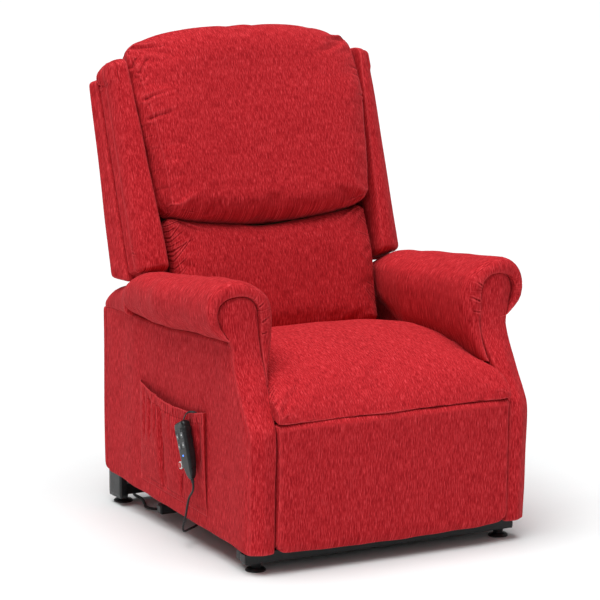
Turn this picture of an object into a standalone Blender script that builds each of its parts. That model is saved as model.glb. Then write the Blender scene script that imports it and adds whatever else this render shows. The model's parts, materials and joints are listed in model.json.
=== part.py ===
"""Lift recliner chair.

An upholstered chair on a four-bar lifting base.  The chair body rises and tilts forward, the
back reclines, and a scissor linkage swings the footrest up.  Metres, +Z up.  The chair faces -Y,
so the sitter's left is +X.  The origin is on the floor, at the centre of the overall box.
"""
import math

import bmesh
import bpy
from mathutils import Matrix, Vector

# Overall sizes
PANEL_INNER = 0.289          # inner face of an arm's side panel
PANEL_OUTER = 0.341          # outer face of an arm's side panel
SEAT_HALF_WIDTH = 0.284
FRONT_Y = -0.418
ARM_FRONT_Y = -0.382
ARM_REAR_Y = 0.374
GAP = 0.0003                 # between pieces that touch

# Base frame
FOOT_X = 0.306
FOOT_Y = (-0.335, 0.346)
FOOT_TRAVEL = 0.015
TUBE_BOTTOM = 0.0175
TUBE_TOP = 0.0425
TUBE_WALL = 0.002
STEM_RADIUS = 0.005

# Lift linkage, as (y, z) of each pivot, with the chair down
ARM_BASE_PIVOT = (-0.275, 0.068)
ARM_CHASSIS_PIVOT = (0.200, 0.098)
GUIDE_BASE_PIVOT = (-0.324, 0.087)
GUIDE_CHASSIS_PIVOT = (-0.040, 0.140)
LIFT_MOTOR_PIVOT = (0.300, 0.075)
LIFT_ROD_PIVOT = (-0.100, 0.140)
TORQUE_TUBE = (-0.140, 0.0765)
LIFT_MOTOR_X = -0.070

# Back, in its own frame: along the back from its foot, and forward from its rear face
BACK_FOOT = (0.238, 0.542)
BACK_LEAN = math.radians(19.8)
RECLINE_PIVOT = (0.250, 0.350)
BACK_MOTOR_PIVOT = (-0.160, 0.220)
BACK_ROD_PIVOT = (0.270, 0.250)
BACK_MOTOR_X = 0.050

# Footrest scissor, as angles forward of straight down
FOOTREST_PIVOT = (-0.260, 0.260)
SCISSOR_LENGTH = 0.160
LOWER_LINK_ANGLE = math.radians(-20)
UPPER_LINK_ANGLE = math.radians(140)

# Layers of the side linkages, as (inner x, outer x) on the sitter's left
LIFT_ARM_LAYER = (0.228, 0.236)
GUIDE_LAYER = (0.2385, 0.2435)
BASE_BRACKET_LAYER = (0.2455, 0.2485)
FOOTREST_BRACKET_LAYER = (0.242, 0.2453)
UPPER_LINK_LAYER = (0.249, 0.253)
LOWER_LINK_LAYER = (0.256, 0.260)
CHASSIS_LAYER = (0.266, 0.270)
PIN_END = 0.2715
PIN_RADIUS = 0.006
SMALL_PIN_RADIUS = 0.005
OPEN_PIVOT_CLEARANCE = 0.0025
ROD_RADIUS = 0.010
LEVER_OFFSET = (0.0107, 0.0157)   # a lever beside its actuator rod, clear of the rod as it turns

# Pocket and handset, on the sitter's right
POCKET_LOW = (-0.3585, -0.174, 0.082)
POCKET_HIGH = (-PANEL_OUTER - GAP, 0.167, 0.312)
POCKET_WALL = 0.003
HANDSET_TIP = Vector((-0.3705, -0.160, 0.170))
HANDSET_LEAN = math.radians(24)
HANDSET_LENGTH = 0.130
HANDSET_WIDTH = 0.050
HANDSET_THICKNESS = 0.021
BUTTON_SIZE = (0.0105, 0.012)
BUTTON_PROUD = 0.0012
BUTTON_DEPTH = 0.0030

# Cords
HANDSET_CORD_RADIUS = 0.0025
HANDSET_CORD_ROUTE = [
    (-0.3705, -0.1615, 0.1665), (-0.3700, -0.1635, 0.155), (-0.3665, -0.152, 0.140),
    (-0.3650, -0.132, 0.122), (-0.3650, -0.122, 0.100), (-0.3650, -0.112, 0.072),
    (-0.3640, -0.098, 0.048), (-0.3560, -0.086, 0.034), (-0.3400, -0.074, 0.033),
    (-0.3120, -0.056, 0.034), (-0.2900, -0.042, 0.040), (-0.2800, -0.030, 0.060),
    (-0.2795, -0.012, 0.095), (-0.2795, 0.006, 0.145), (-0.2795, 0.018, 0.185),
    (-0.2770, 0.020, 0.204),
    (-0.2680, 0.021, 0.217), (-0.2500, 0.023, 0.232), (-0.2300, 0.028, 0.262),
    (-0.2050, 0.036, 0.289), (-0.1600, 0.046, 0.2965), (-0.0900, 0.056, 0.2965),
    (0.0000, 0.050, 0.2965), (0.0600, 0.036, 0.2905), (0.0850, 0.0305, 0.2815),
    (0.0980, 0.030, 0.2802), (0.1095, 0.030, 0.2800)]
CABLE_HOLE = (0.021, 0.216)
MAINS_RADIUS = 0.00325
MAINS_ROUTE = [
    (0.0235, 0.240, 0.066), (0.010, 0.240, 0.0655), (-0.008, 0.240, 0.052), (-0.020, 0.239, 0.024),
    (-0.036, 0.238, 0.0075), (-0.060, 0.236, 0.0040), (-0.120, 0.226, 0.0036),
    (-0.190, 0.215, 0.0036), (-0.245, 0.213, 0.0036), (-0.278, 0.228, 0.0036),
    (-0.289, 0.255, 0.0036), (-0.279, 0.285, 0.0036), (-0.266, 0.330, 0.0036),
    (-0.262, 0.380, 0.0036), (-0.238, 0.425, 0.0036), (-0.195, 0.450, 0.0036), (-0.1500, 0.4430, 0.0036),
    (-0.1230, 0.4340, 0.0036)]
COIL_CENTRE = (-0.105, 0.4755)
COIL_RADIUS = (0.0225, 0.0415)
COIL_HEIGHT = 0.0205
PLUG_LOW = (-0.055, 0.450, GAP)
PLUG_HIGH = (-0.005, 0.500, 0.026)

SIDES = {"left": 1, "right": -1}
COLOURS = {
    "fabric": ((0.50, 0.028, 0.035), 0.85, 0.0),
    "frame_paint": ((0.020, 0.021, 0.022), 0.45, 0.0),
    "zinc_steel": ((0.45, 0.46, 0.48), 0.35, 1.0),
    "black_plastic": ((0.018, 0.018, 0.020), 0.35, 0.0),
    "button_plastic": ((0.060, 0.062, 0.065), 0.40, 0.0),
    "cable_rubber": ((0.015, 0.015, 0.016), 0.55, 0.0),
    "plywood": ((0.45, 0.31, 0.17), 0.65, 0.0),
}


# Scene and collections

def clear_scene():
    for old in list(bpy.data.objects):
        bpy.data.objects.remove(old, do_unlink=True)


def new_collection(name):
    collection = bpy.data.collections.new(name)
    bpy.context.scene.collection.children.link(collection)
    return collection


def new_material(name):
    colour, roughness, metallic = COLOURS[name]
    material = bpy.data.materials.new(name)
    material.use_nodes = True
    shader = material.node_tree.nodes["Principled BSDF"]
    shader.inputs["Base Color"].default_value = (*colour, 1.0)
    shader.inputs["Roughness"].default_value = roughness
    shader.inputs["Metallic"].default_value = metallic
    material.diffuse_color = (*colour, 1.0)
    return material


clear_scene()
PARTS = new_collection("lift_recliner_chair")
CUTTERS = new_collection("cutters")
MATERIALS = {name: new_material(name) for name in COLOURS}


# Building blocks

def add(obj, material, pivot=None):
    """Put a finished object in the parts collection, on its pivot."""
    PARTS.objects.link(obj)
    obj.data.materials.clear()
    obj.data.materials.append(MATERIALS[material])
    if pivot is not None:
        hang(obj, pivot)
    return obj


def hang(obj, pivot):
    obj.parent = pivot
    obj.matrix_parent_inverse = Matrix.Translation(-pivot_place(pivot))


def pivot_place(pivot):
    place = Vector(pivot.location)
    return place + pivot_place(pivot.parent) if pivot.parent else place


def new_pivot(name, place, parent=None):
    """An empty on a joint's axis, at a world position."""
    empty = bpy.data.objects.new(name, None)
    empty.empty_display_size = 0.03
    empty.location = Vector(place) - (pivot_place(parent) if parent else Vector())
    empty.parent = parent
    PARTS.objects.link(empty)
    return empty


def object_from(name, bm):
    mesh = bpy.data.meshes.new(name)
    bm.to_mesh(mesh)
    bm.free()
    return bpy.data.objects.new(name, mesh)


def box(name, low, high):
    bm = bmesh.new()
    bmesh.ops.create_cube(bm, size=1.0)
    low, high = Vector(low), Vector(high)
    bmesh.ops.scale(bm, vec=high - low, verts=bm.verts)
    bmesh.ops.translate(bm, vec=(low + high) / 2, verts=bm.verts)
    return object_from(name, bm)


def cylinder(name, start, end, radius, end_radius=None, sides=16):
    start, end = Vector(start), Vector(end)
    turn = (end - start).to_track_quat("Z", "Y").to_matrix().to_4x4()
    bm = bmesh.new()
    bmesh.ops.create_cone(
        bm, cap_ends=True, segments=sides, radius1=radius,
        radius2=radius if end_radius is None else end_radius, depth=(end - start).length,
        matrix=Matrix.Translation((start + end) / 2) @ turn)
    obj = object_from(name, bm)
    obj.data.shade_smooth()
    obj.data.set_sharp_from_angle(angle=math.radians(40))
    return obj


def circle(centre, radius, sides=16):
    steps = [2 * math.pi * i / sides for i in range(sides)]
    return [(centre[0] + radius * math.cos(t), centre[1] + radius * math.sin(t)) for t in steps]


def flat(name, outlines, thickness, placement):
    """A flat outline with holes, thickened both ways and placed; its own axes are X and Y."""
    curve = bpy.data.curves.new(name, "CURVE")
    curve.dimensions = "2D"
    curve.fill_mode = "BOTH"
    curve.extrude = thickness / 2
    for outline in outlines:
        spline = curve.splines.new("POLY")
        spline.points.add(len(outline) - 1)
        for point, (u, v) in zip(spline.points, outline):
            point.co = (u, v, 0, 1)
        spline.use_cyclic_u = True
    guide = bpy.data.objects.new(name + "_outline", curve)
    PARTS.objects.link(guide)
    guide.matrix_world = placement
    bpy.context.view_layer.update()
    seen = guide.evaluated_get(bpy.context.evaluated_depsgraph_get())
    mesh = bpy.data.meshes.new_from_object(seen)
    bm = bmesh.new()
    bm.from_mesh(mesh)
    bmesh.ops.remove_doubles(bm, verts=bm.verts, dist=0.00001)
    bmesh.ops.recalc_face_normals(bm, faces=bm.faces)
    bm.to_mesh(mesh)
    bm.free()
    obj = bpy.data.objects.new(name, mesh)
    obj.matrix_world = guide.matrix_world
    bpy.data.objects.remove(guide)
    return obj


def side_placement(x):
    """Places a flat outline's X along world Y and its Y along world Z, at a given x."""
    turn = Matrix(((0, 0, 1, 0), (1, 0, 0, 0), (0, 1, 0, 0), (0, 0, 0, 1)))
    return Matrix.Translation((x, 0, 0)) @ turn


def plate(name, outline, layer, side=1, holes=()):
    """A plate across X between layer's two distances from the centre, drawn in (y, z)."""
    outlines = [outline] + [circle(centre, radius) for centre, radius in holes]
    middle = side * (layer[0] + layer[1]) / 2
    return flat(name, outlines, abs(layer[1] - layer[0]), side_placement(middle))


def bar_outline(start, end, radius, sides=6):
    """A bar with round ends about two pivots."""
    along = math.atan2(end[1] - start[1], end[0] - start[0])
    outline = []
    for centre, facing in ((start, along + math.pi), (end, along)):
        for i in range(sides + 1):
            t = facing - math.pi / 2 + math.pi * i / sides
            outline.append((centre[0] + radius * math.cos(t), centre[1] + radius * math.sin(t)))
    return outline


def boolean(obj, tool, operation):
    CUTTERS.objects.link(tool)
    tool.hide_render = True
    tool.display_type = "WIRE"
    modifier = obj.modifiers.new(operation.lower(), "BOOLEAN")
    modifier.operation = operation
    modifier.solver = "EXACT"
    modifier.object = tool


def weld(obj, *extras):
    for extra in extras:
        boolean(obj, extra, "UNION")
    return obj


def cut(obj, *tools):
    for tool in tools:
        boolean(obj, tool, "DIFFERENCE")
    return obj


def soften(obj, width, segments=2):
    modifier = obj.modifiers.new("rounded edges", "BEVEL")
    modifier.width = width
    modifier.segments = segments
    modifier.limit_method = "ANGLE"
    modifier.angle_limit = math.radians(40)
    return obj


def pin(name, pivot, layer_from, layer_to, radius, side, sides=16):
    """A round pin along X at a (y, z) pivot."""
    start = (side * layer_from, *pivot)
    end = (side * layer_to, *pivot)
    return cylinder(name, start, end, radius, sides=sides)


def turned(name, profile, sides):
    """A profile of (radius, z) points turned about Z; it runs down its outer side."""
    mesh = bpy.data.meshes.new(name)
    closed = profile[0][0] > 0
    edges = [(i, i + 1) for i in range(len(profile) - 1)]
    if closed:
        edges.append((len(profile) - 1, 0))
    mesh.from_pydata([(r, 0, z) for r, z in profile], edges, [])
    obj = bpy.data.objects.new(name, mesh)
    screw = obj.modifiers.new("turned", "SCREW")
    screw.steps = sides
    screw.render_steps = sides
    screw.use_merge_vertices = True
    screw.merge_threshold = 0.00001
    screw.use_smooth_shade = False
    return obj


def smooth_route(route, spacing):
    """Evenly spaced points on a Catmull-Rom curve through a route's points."""
    points = [Vector(p) for p in route]
    ends = [2 * points[0] - points[1], *points, 2 * points[-1] - points[-2]]
    fine = [points[0]]
    for a, b, c, d in zip(ends, ends[1:], ends[2:], ends[3:]):
        for i in range(1, 21):
            t = i / 20
            fine.append(0.5 * (2 * b + (c - a) * t + (2 * a - 5 * b + 4 * c - d) * t * t
                               + (3 * b - a - 3 * c + d) * t ** 3))
    lengths = [0.0]
    for a, b in zip(fine, fine[1:]):
        lengths.append(lengths[-1] + (b - a).length)
    count = max(2, round(lengths[-1] / spacing))
    even, at = [], 0
    for i in range(count + 1):
        goal = lengths[-1] * i / count
        while at < len(fine) - 2 and lengths[at + 1] < goal:
            at += 1
        share = (goal - lengths[at]) / (lengths[at + 1] - lengths[at])
        even.append(fine[at].lerp(fine[at + 1], share))
    return even


def cord(name, route, radius):
    curve = bpy.data.curves.new(name, "CURVE")
    curve.dimensions = "3D"
    curve.bevel_depth = radius
    curve.bevel_resolution = 2
    curve.use_fill_caps = True
    spline = curve.splines.new("POLY")
    points = smooth_route(route, 5 * radius)
    spline.points.add(len(points) - 1)
    for point, place in zip(spline.points, points):
        point.co = (*place, 1)
    return bpy.data.objects.new(name, curve)


def square_tube(name, low, high, axis):
    """A square steel tube, open at both ends along an axis."""
    low, high = Vector(low), Vector(high)
    inner_low = low + Vector((TUBE_WALL,) * 3)
    inner_high = high - Vector((TUBE_WALL,) * 3)
    inner_low[axis] = low[axis] - 0.01
    inner_high[axis] = high[axis] + 0.01
    return cut(box(name, low, high), box(name + "_bore", inner_low, inner_high))


# Base frame

def base_frame():
    front = square_tube("base_front_tube", (-0.335, -0.350, TUBE_BOTTOM), (0.335, -0.320, TUBE_TOP), 0)
    brace = square_tube("base_front_brace", (-0.328, -0.313, TUBE_BOTTOM), (0.328, -0.289, TUBE_TOP), 0)
    middle = square_tube("base_mid_tube", (-0.311, 0.124, TUBE_BOTTOM), (0.311, 0.146, 0.0395), 0)
    rear = square_tube("base_rear_tube", (-0.335, 0.3335, TUBE_BOTTOM), (0.335, 0.3585, TUBE_TOP), 0)
    for tube, y in ((front, FOOT_Y[0]), (rear, FOOT_Y[1])):
        for side in (-1, 1):
            x = side * FOOT_X
            hole = cylinder("stem_hole", (x, y, 0.010), (x, y, 0.030), STEM_RADIUS + GAP, sides=12)
            cut(tube, hole)
    lug = plate("lift_motor_lug", [
        (0.345, 0.041), (0.345, 0.052), (0.308, 0.088), (0.290, 0.085), (0.288, 0.066), (0.334, 0.0405)],
        (-LIFT_MOTOR_X - 0.0025, -LIFT_MOTOR_X + 0.0025), -1, [(LIFT_MOTOR_PIVOT, 0.0045)])
    weld(rear, lug)
    for tube in (front, brace, middle, rear):
        add(tube, "frame_paint")
    for name, side in SIDES.items():
        xs = sorted((side * 0.197, side * 0.219))
        add(box("base_rail_" + name, (xs[0], -0.345, TUBE_TOP + GAP), (xs[1], 0.3585, 0.058)),
            "frame_paint")
        bracket = plate("lift_bracket_" + name, [
            (-0.348, TUBE_TOP + GAP), (-0.250, TUBE_TOP + GAP), (-0.258, 0.080), (-0.300, 0.104),
            (-0.335, 0.104), (-0.348, 0.085)], BASE_BRACKET_LAYER, side,
            [(ARM_BASE_PIVOT, PIN_RADIUS + GAP), (GUIDE_BASE_PIVOT, PIN_RADIUS + GAP)])
        add(bracket, "frame_paint")


def feet():
    places = {"front": FOOT_Y[0], "rear": FOOT_Y[1]}
    for end, y in places.items():
        for name, side in SIDES.items():
            profile = [
                (0, 0.036), (STEM_RADIUS, 0.036), (STEM_RADIUS, TUBE_BOTTOM - GAP),
                (0.0125, TUBE_BOTTOM - GAP), (0.0105, 0.0085), (0.0195, 0.0060), (0.0225, 0.0030),
                (0.0225, 0.0), (0, 0.0)]
            foot = turned(f"foot_{end}_{name}", profile, 16)
            pivot = new_pivot(f"foot_{end}_{name}_slide", (side * FOOT_X, y, 0))
            add(foot, "black_plastic")
            foot.parent = pivot


def power_supply():
    unit = box("power_supply", (0.050, 0.190, TUBE_TOP + GAP), (0.180, 0.300, 0.092))
    add(soften(unit, 0.006, 2), "black_plastic")
    relief = cylinder("mains_strain_relief", (0.050 - GAP, 0.240, 0.066), (0.024, 0.240, 0.066),
                      0.0075, 0.0040, sides=12)
    add(relief, "cable_rubber")
    add(cord("mains_lead", MAINS_ROUTE, MAINS_RADIUS), "cable_rubber")
    inner, outer = COIL_RADIUS
    low, high, chamfer = GAP, COIL_HEIGHT, 0.004
    ring = [
        (inner + chamfer, high), (outer - chamfer, high), (outer, high - chamfer),
        (outer, low + chamfer), (outer - chamfer, low), (inner + chamfer, low),
        (inner, low + chamfer), (inner, high - chamfer)]
    coil = turned("mains_coil", ring, 24)
    coil.location = (*COIL_CENTRE, 0)
    add(coil, "cable_rubber")
    add(mains_plug(), "black_plastic")


def mains_plug():
    """A moulded plug lying on its side, with three flat pins that point away from its lead."""
    body = soften(box("mains_plug", PLUG_LOW, PLUG_HIGH), 0.004, 2)
    y = PLUG_HIGH[1]
    x = (PLUG_LOW[0] + PLUG_HIGH[0]) / 2
    weld(body, box("earth_pin", (x - 0.002, y - 0.010, 0.0120), (x + 0.002, y + 0.022, 0.0200)))
    for step in (-0.011, 0.011):
        weld(body, box("live_pin", (x + step - 0.003, y - 0.010, 0.0060),
                       (x + step + 0.003, y + 0.0175, 0.0100)))
    return body


# Lift linkage

def lift_linkage():
    pivot = new_pivot("lift_pivot", (0, *ARM_BASE_PIVOT))
    for name, side in SIDES.items():
        arm = plate("lift_arm_" + name, bar_outline(ARM_BASE_PIVOT, ARM_CHASSIS_PIVOT, 0.016),
                    LIFT_ARM_LAYER, side)
        weld(arm,
             pin("base_pin", ARM_BASE_PIVOT, 0.232, 0.250, PIN_RADIUS, side),
             pin("chassis_pin", ARM_CHASSIS_PIVOT, 0.232, PIN_END, PIN_RADIUS, side))
        add(arm, "frame_paint", pivot)
    reach = LIFT_ARM_LAYER[0] - GAP
    tube = cylinder("lift_torque_tube", (-reach, *TORQUE_TUBE), (reach, *TORQUE_TUBE), 0.0125, sides=20)
    lever = plate("lift_lever", [
        (-0.113, 0.138), (-0.109, 0.149), (-0.096, 0.152), (-0.088, 0.144), (-0.124, 0.074),
        (-0.136, 0.067), (-0.151, 0.080)],
        (-LIFT_MOTOR_X + LEVER_OFFSET[0], -LIFT_MOTOR_X + LEVER_OFFSET[1]), -1)
    add(weld(tube, lever), "frame_paint", pivot)
    guide_pivot = new_pivot("guide_pivot", (0, *GUIDE_BASE_PIVOT))
    for name, side in SIDES.items():
        link = plate("guide_link_" + name, bar_outline(GUIDE_BASE_PIVOT, GUIDE_CHASSIS_PIVOT, 0.0125),
                     GUIDE_LAYER, side,
                     [(GUIDE_CHASSIS_PIVOT, SMALL_PIN_RADIUS + OPEN_PIVOT_CLEARANCE)])
        weld(link, pin("guide_pin", GUIDE_BASE_PIVOT, 0.241, 0.250, PIN_RADIUS, side))
        add(link, "frame_paint", guide_pivot)


def actuator(name, motor_pivot, rod_pivot, x, tube_length, rod_inside, bore_from, side):
    """A motor housing that pivots at one end, and the rod that slides in it.

    Lengths run from the motor's pivot.  The pivot lugs are on one side, away from the centre line.
    """
    start, end = Vector((x, *motor_pivot)), Vector((x, *rod_pivot))
    along = (end - start).normalized()
    tilt = math.atan2(along.z, along.y)
    housing_pivot = new_pivot(name + "_swing", start)
    case = box(name + "_housing", (x - 0.024, 0.018, -0.026), (x + 0.024, 0.072, 0.026))
    place = Matrix.Translation((0, start.y, start.z)) @ Matrix.Rotation(tilt, 4, "X")
    case.data.transform(place)
    barrel = cylinder("barrel", start + 0.060 * along, start + tube_length * along, 0.0175, sides=16)
    motor_x = Vector((-0.047, 0, 0))
    motor = cylinder("motor", start + motor_x + 0.030 * along, start + motor_x + 0.135 * along,
                     0.0225, sides=16)
    neck = box("motor_neck", (x - 0.050, 0.032, -0.018), (x, 0.066, 0.018))
    neck.data.transform(place)
    layer = sorted((x + side * 0.0035, x + side * 0.0115))
    lug = box("lug", (layer[0], -0.010, -0.010), (layer[1], 0.030, 0.010))
    lug.data.transform(place)
    stub = cylinder("stub", (x + side * 0.008, *motor_pivot), (x - side * 0.0045, *motor_pivot),
                    0.0042, sides=12)
    weld(case, barrel, neck, motor, lug, stub)
    cut(case, cylinder("bore", start + bore_from * along, start + (tube_length + 0.01) * along,
                       ROD_RADIUS + 0.001, sides=16))
    add(case, "black_plastic", housing_pivot)
    slide = new_pivot(name + "_slide", end, housing_pivot)
    rod = cylinder(name + "_rod", start + rod_inside * along, end - 0.020 * along, ROD_RADIUS, sides=16)
    eye_layer = sorted((x + side * 0.0035, x + side * 0.0095))
    eye = box("eye", (eye_layer[0], -0.030, -0.009), (eye_layer[1], 0.010, 0.009))
    eye.data.transform(Matrix.Translation((0, end.y, end.z)) @ Matrix.Rotation(tilt, 4, "X"))
    add(weld(rod, eye), "zinc_steel", slide)


# Chair body

def chassis():
    for name, side in SIDES.items():
        outline = [
            (-0.345, 0.317), (-0.345, 0.285), (-0.285, 0.236), (-0.215, 0.205), (-0.075, 0.122),
            (-0.010, 0.118), (0.165, 0.076), (0.225, 0.076), (0.262, 0.120), (0.285, 0.345),
            (0.262, 0.382), (0.232, 0.378), (0.200, 0.317)]
        side_plate = plate("chassis_side_" + name, outline, CHASSIS_LAYER, side, [
            (FOOTREST_PIVOT, PIN_RADIUS + GAP), (ARM_CHASSIS_PIVOT, PIN_RADIUS + GAP),
            (RECLINE_PIVOT, 0.008 + GAP), ((-0.150, 0.285), 0.011 + GAP),
            (CABLE_HOLE, 0.010)])
        weld(side_plate, pin("guide_stud", GUIDE_CHASSIS_PIVOT, 0.2400, 0.268, SMALL_PIN_RADIUS, side))
        add(side_plate, "frame_paint")
    reach = PANEL_INNER - GAP
    front = cylinder("chassis_front_tube", (-reach, -0.150, 0.285), (reach, -0.150, 0.285), 0.011)
    weld(front, plate("back_motor_lug", [
        (-0.160, 0.290), (-0.147, 0.290), (-0.149, 0.222), (-0.153, 0.209), (-0.168, 0.209),
        (-0.174, 0.222)], (BACK_MOTOR_X - 0.0025, BACK_MOTOR_X + 0.0025), 1, [(BACK_MOTOR_PIVOT, 0.0045)]))
    add(front, "frame_paint")
    inside = CHASSIS_LAYER[0] - GAP
    add(box("seat_deck", (-inside, -0.352, 0.303), (inside, 0.165, 0.317)), "plywood")
    control = box("control_box", (0.110, -0.030, 0.256), (0.190, 0.090, 0.303 - GAP))
    add(soften(control, 0.004, 1), "black_plastic")
    cover = box("rear_cover", (-PANEL_INNER + GAP, 0.346, 0.085), (PANEL_INNER - GAP, 0.362, 0.435))
    add(soften(cover, 0.005, 1), "fabric")


def seat_cushion():
    """The front rolls down over the footrest's top edge."""
    outline = [
        (0.118, 0.3185), (0.130, 0.345), (0.122, 0.412), (0.095, 0.428), (-0.020, 0.452),
        (-0.120, 0.460), (-0.200, 0.453), (-0.280, 0.433), (-0.350, 0.404), (-0.395, 0.375),
        (FRONT_Y, 0.345), (-0.408, 0.331), (-0.352, 0.331), (-0.346, 0.3185)]
    outline.reverse()
    add(plate("seat_cushion", outline, (-SEAT_HALF_WIDTH, SEAT_HALF_WIDTH)), "fabric")


def arms():
    side_outline = [
        (ARM_FRONT_Y, 0.045), (-0.070, 0.056), (0.345, 0.074), (0.366, 0.082), (ARM_REAR_Y, 0.100),
        (ARM_REAR_Y, 0.455), (0.366, 0.478), (0.350, 0.494), (0.325, 0.503), (0.246, 0.503),
        (0.244, 0.489), (-0.302, 0.489), (-0.340, 0.400), (ARM_FRONT_Y, 0.312)]
    for name, side in SIDES.items():
        add(plate("arm_panel_" + name, side_outline, (PANEL_INNER, PANEL_OUTER), side), "fabric")
        add(arm_pad("arm_pad_" + name, side), "fabric")


def arm_pad(name, side):
    """A roll along the top of the arm that slopes down under the wing at its rear end."""
    centre_x, low, high = side * 0.319, 0.4895, 0.628
    half_width, front, slope_start, rear = 0.0735, -0.302, 0.05, 0.236
    bm = bmesh.new()
    turn = Matrix.Rotation(math.pi / 2, 4, "X")
    place = Matrix.Translation((centre_x, (front + rear) / 2, (low + high) / 2))
    bmesh.ops.create_cone(bm, cap_ends=True, segments=20, radius1=1, radius2=1, depth=rear - front,
                          matrix=place @ Matrix.Diagonal((half_width, 1, (high - low) / 2, 1)) @ turn)
    for y in (-0.05, 0.06, 0.14, 0.19):
        everything = bm.verts[:] + bm.edges[:] + bm.faces[:]
        bmesh.ops.bisect_plane(bm, geom=everything, plane_co=(0, y, 0), plane_no=(0, 1, 0))
    for vert in bm.verts:
        toward_rear = max(0.0, vert.co.y - slope_start) / (rear - slope_start)
        height = 1.0 if vert.co.y < -0.1 else 0.88
        vert.co.z = low + (vert.co.z - low) * height * (1 - 0.70 * toward_rear)
        vert.co.x = centre_x + (vert.co.x - centre_x) * (1 - 0.32 * toward_rear)
    return object_from(name, bm)


def pocket_and_handset():
    low, high = Vector(POCKET_LOW), Vector(POCKET_HIGH)
    pocket = box("side_pocket", low, high)
    hollow_low = low + Vector((POCKET_WALL, POCKET_WALL, POCKET_WALL))
    hollow_high = high + Vector((0.01, -POCKET_WALL, 0.01))
    add(cut(pocket, box("pocket_hollow", hollow_low, hollow_high)), "fabric")

    lift_off = new_pivot("handset_lift", HANDSET_TIP)
    place = Matrix.Translation(HANDSET_TIP) @ Matrix.Rotation(-HANDSET_LEAN, 4, "X")
    case = handset_case()
    case.data.transform(place)
    front_x = -HANDSET_THICKNESS / 2
    centres = {
        "back_up": (-0.011, 0.098), "back_down": (0.011, 0.098),
        "lift_up": (-0.011, 0.076), "lift_down": (0.011, 0.076)}
    for name, (y, z) in centres.items():
        half_y, half_z = BUTTON_SIZE[0] / 2, BUTTON_SIZE[1] / 2
        recess = box("recess", (front_x - 0.01, y - half_y - GAP, z - half_z - GAP),
                     (front_x + BUTTON_DEPTH + 0.0016, y + half_y + GAP, z + half_z + GAP))
        recess.data.transform(place)
        cut(case, recess)
        button = box("button_" + name, (front_x - BUTTON_PROUD, y - half_y, z - half_z),
                     (front_x + BUTTON_DEPTH, y + half_y, z + half_z))
        button.data.transform(place)
        add(button, "button_plastic", lift_off)
    add(case, "black_plastic", lift_off)
    add(handset_hook(), "black_plastic", lift_off)
    add(cord("handset_cord", HANDSET_CORD_ROUTE, HANDSET_CORD_RADIUS), "cable_rubber")


def handset_case():
    """Its length is along Z from the tip; it narrows to a tail at the cord."""
    bm = bmesh.new()
    bmesh.ops.create_cube(bm, size=1.0)
    bmesh.ops.scale(bm, vec=(HANDSET_THICKNESS, HANDSET_WIDTH, HANDSET_LENGTH), verts=bm.verts)
    bmesh.ops.translate(bm, vec=(0, 0, HANDSET_LENGTH / 2), verts=bm.verts)
    for z in (0.030, 0.055, 0.118):
        everything = bm.verts[:] + bm.edges[:] + bm.faces[:]
        bmesh.ops.bisect_plane(bm, geom=everything, plane_co=(0, 0, z), plane_no=(0, 0, 1))
    widths = ((0.001, 0.18, 0.45), (0.031, 0.72, 0.95), (0.056, 0.90, 1.0), (0.119, 1.0, 1.0), (1, 0.80, 0.8))
    for vert in bm.verts:
        width, depth = next((w, d) for z, w, d in widths if vert.co.z <= z)
        vert.co.y *= width
        vert.co.x *= depth
    return object_from("handset_case", bm)


def handset_hook():
    """A flat strap from the handset's top end, over the pocket's rim and down inside it."""
    outer, inner, rim = -0.3665, -0.3465, 0.3165
    outline = [
        (outer, 0.2945), (outer + 0.002, 0.2945), (outer + 0.002, rim), (inner - 0.002, rim),
        (inner - 0.002, 0.285), (inner, 0.285), (inner, rim + 0.002), (outer, rim + 0.002)]
    turn = Matrix(((1, 0, 0, 0), (0, 0, -1, 0), (0, 1, 0, 0), (0, 0, 0, 1)))
    return flat("handset_hook", [outline], 0.012, Matrix.Translation((0, -0.112, 0)) @ turn)


# Back

def back_placement():
    """Its axes: X across, Y forward from the rear face, Z along the back from its foot."""
    forward = Vector((0, -math.cos(BACK_LEAN), math.sin(BACK_LEAN)))
    along = Vector((0, math.sin(BACK_LEAN), math.cos(BACK_LEAN)))
    return Matrix((
        (1, 0, 0, 0), (0, forward.y, along.y, BACK_FOOT[0]), (0, forward.z, along.z, BACK_FOOT[1]),
        (0, 0, 0, 1)))


def on_back(obj):
    """Move a solid drawn in the back's own axes to its place; those axes are left-handed."""
    obj.data.transform(back_placement())
    obj.data.flip_normals()
    return obj


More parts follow.
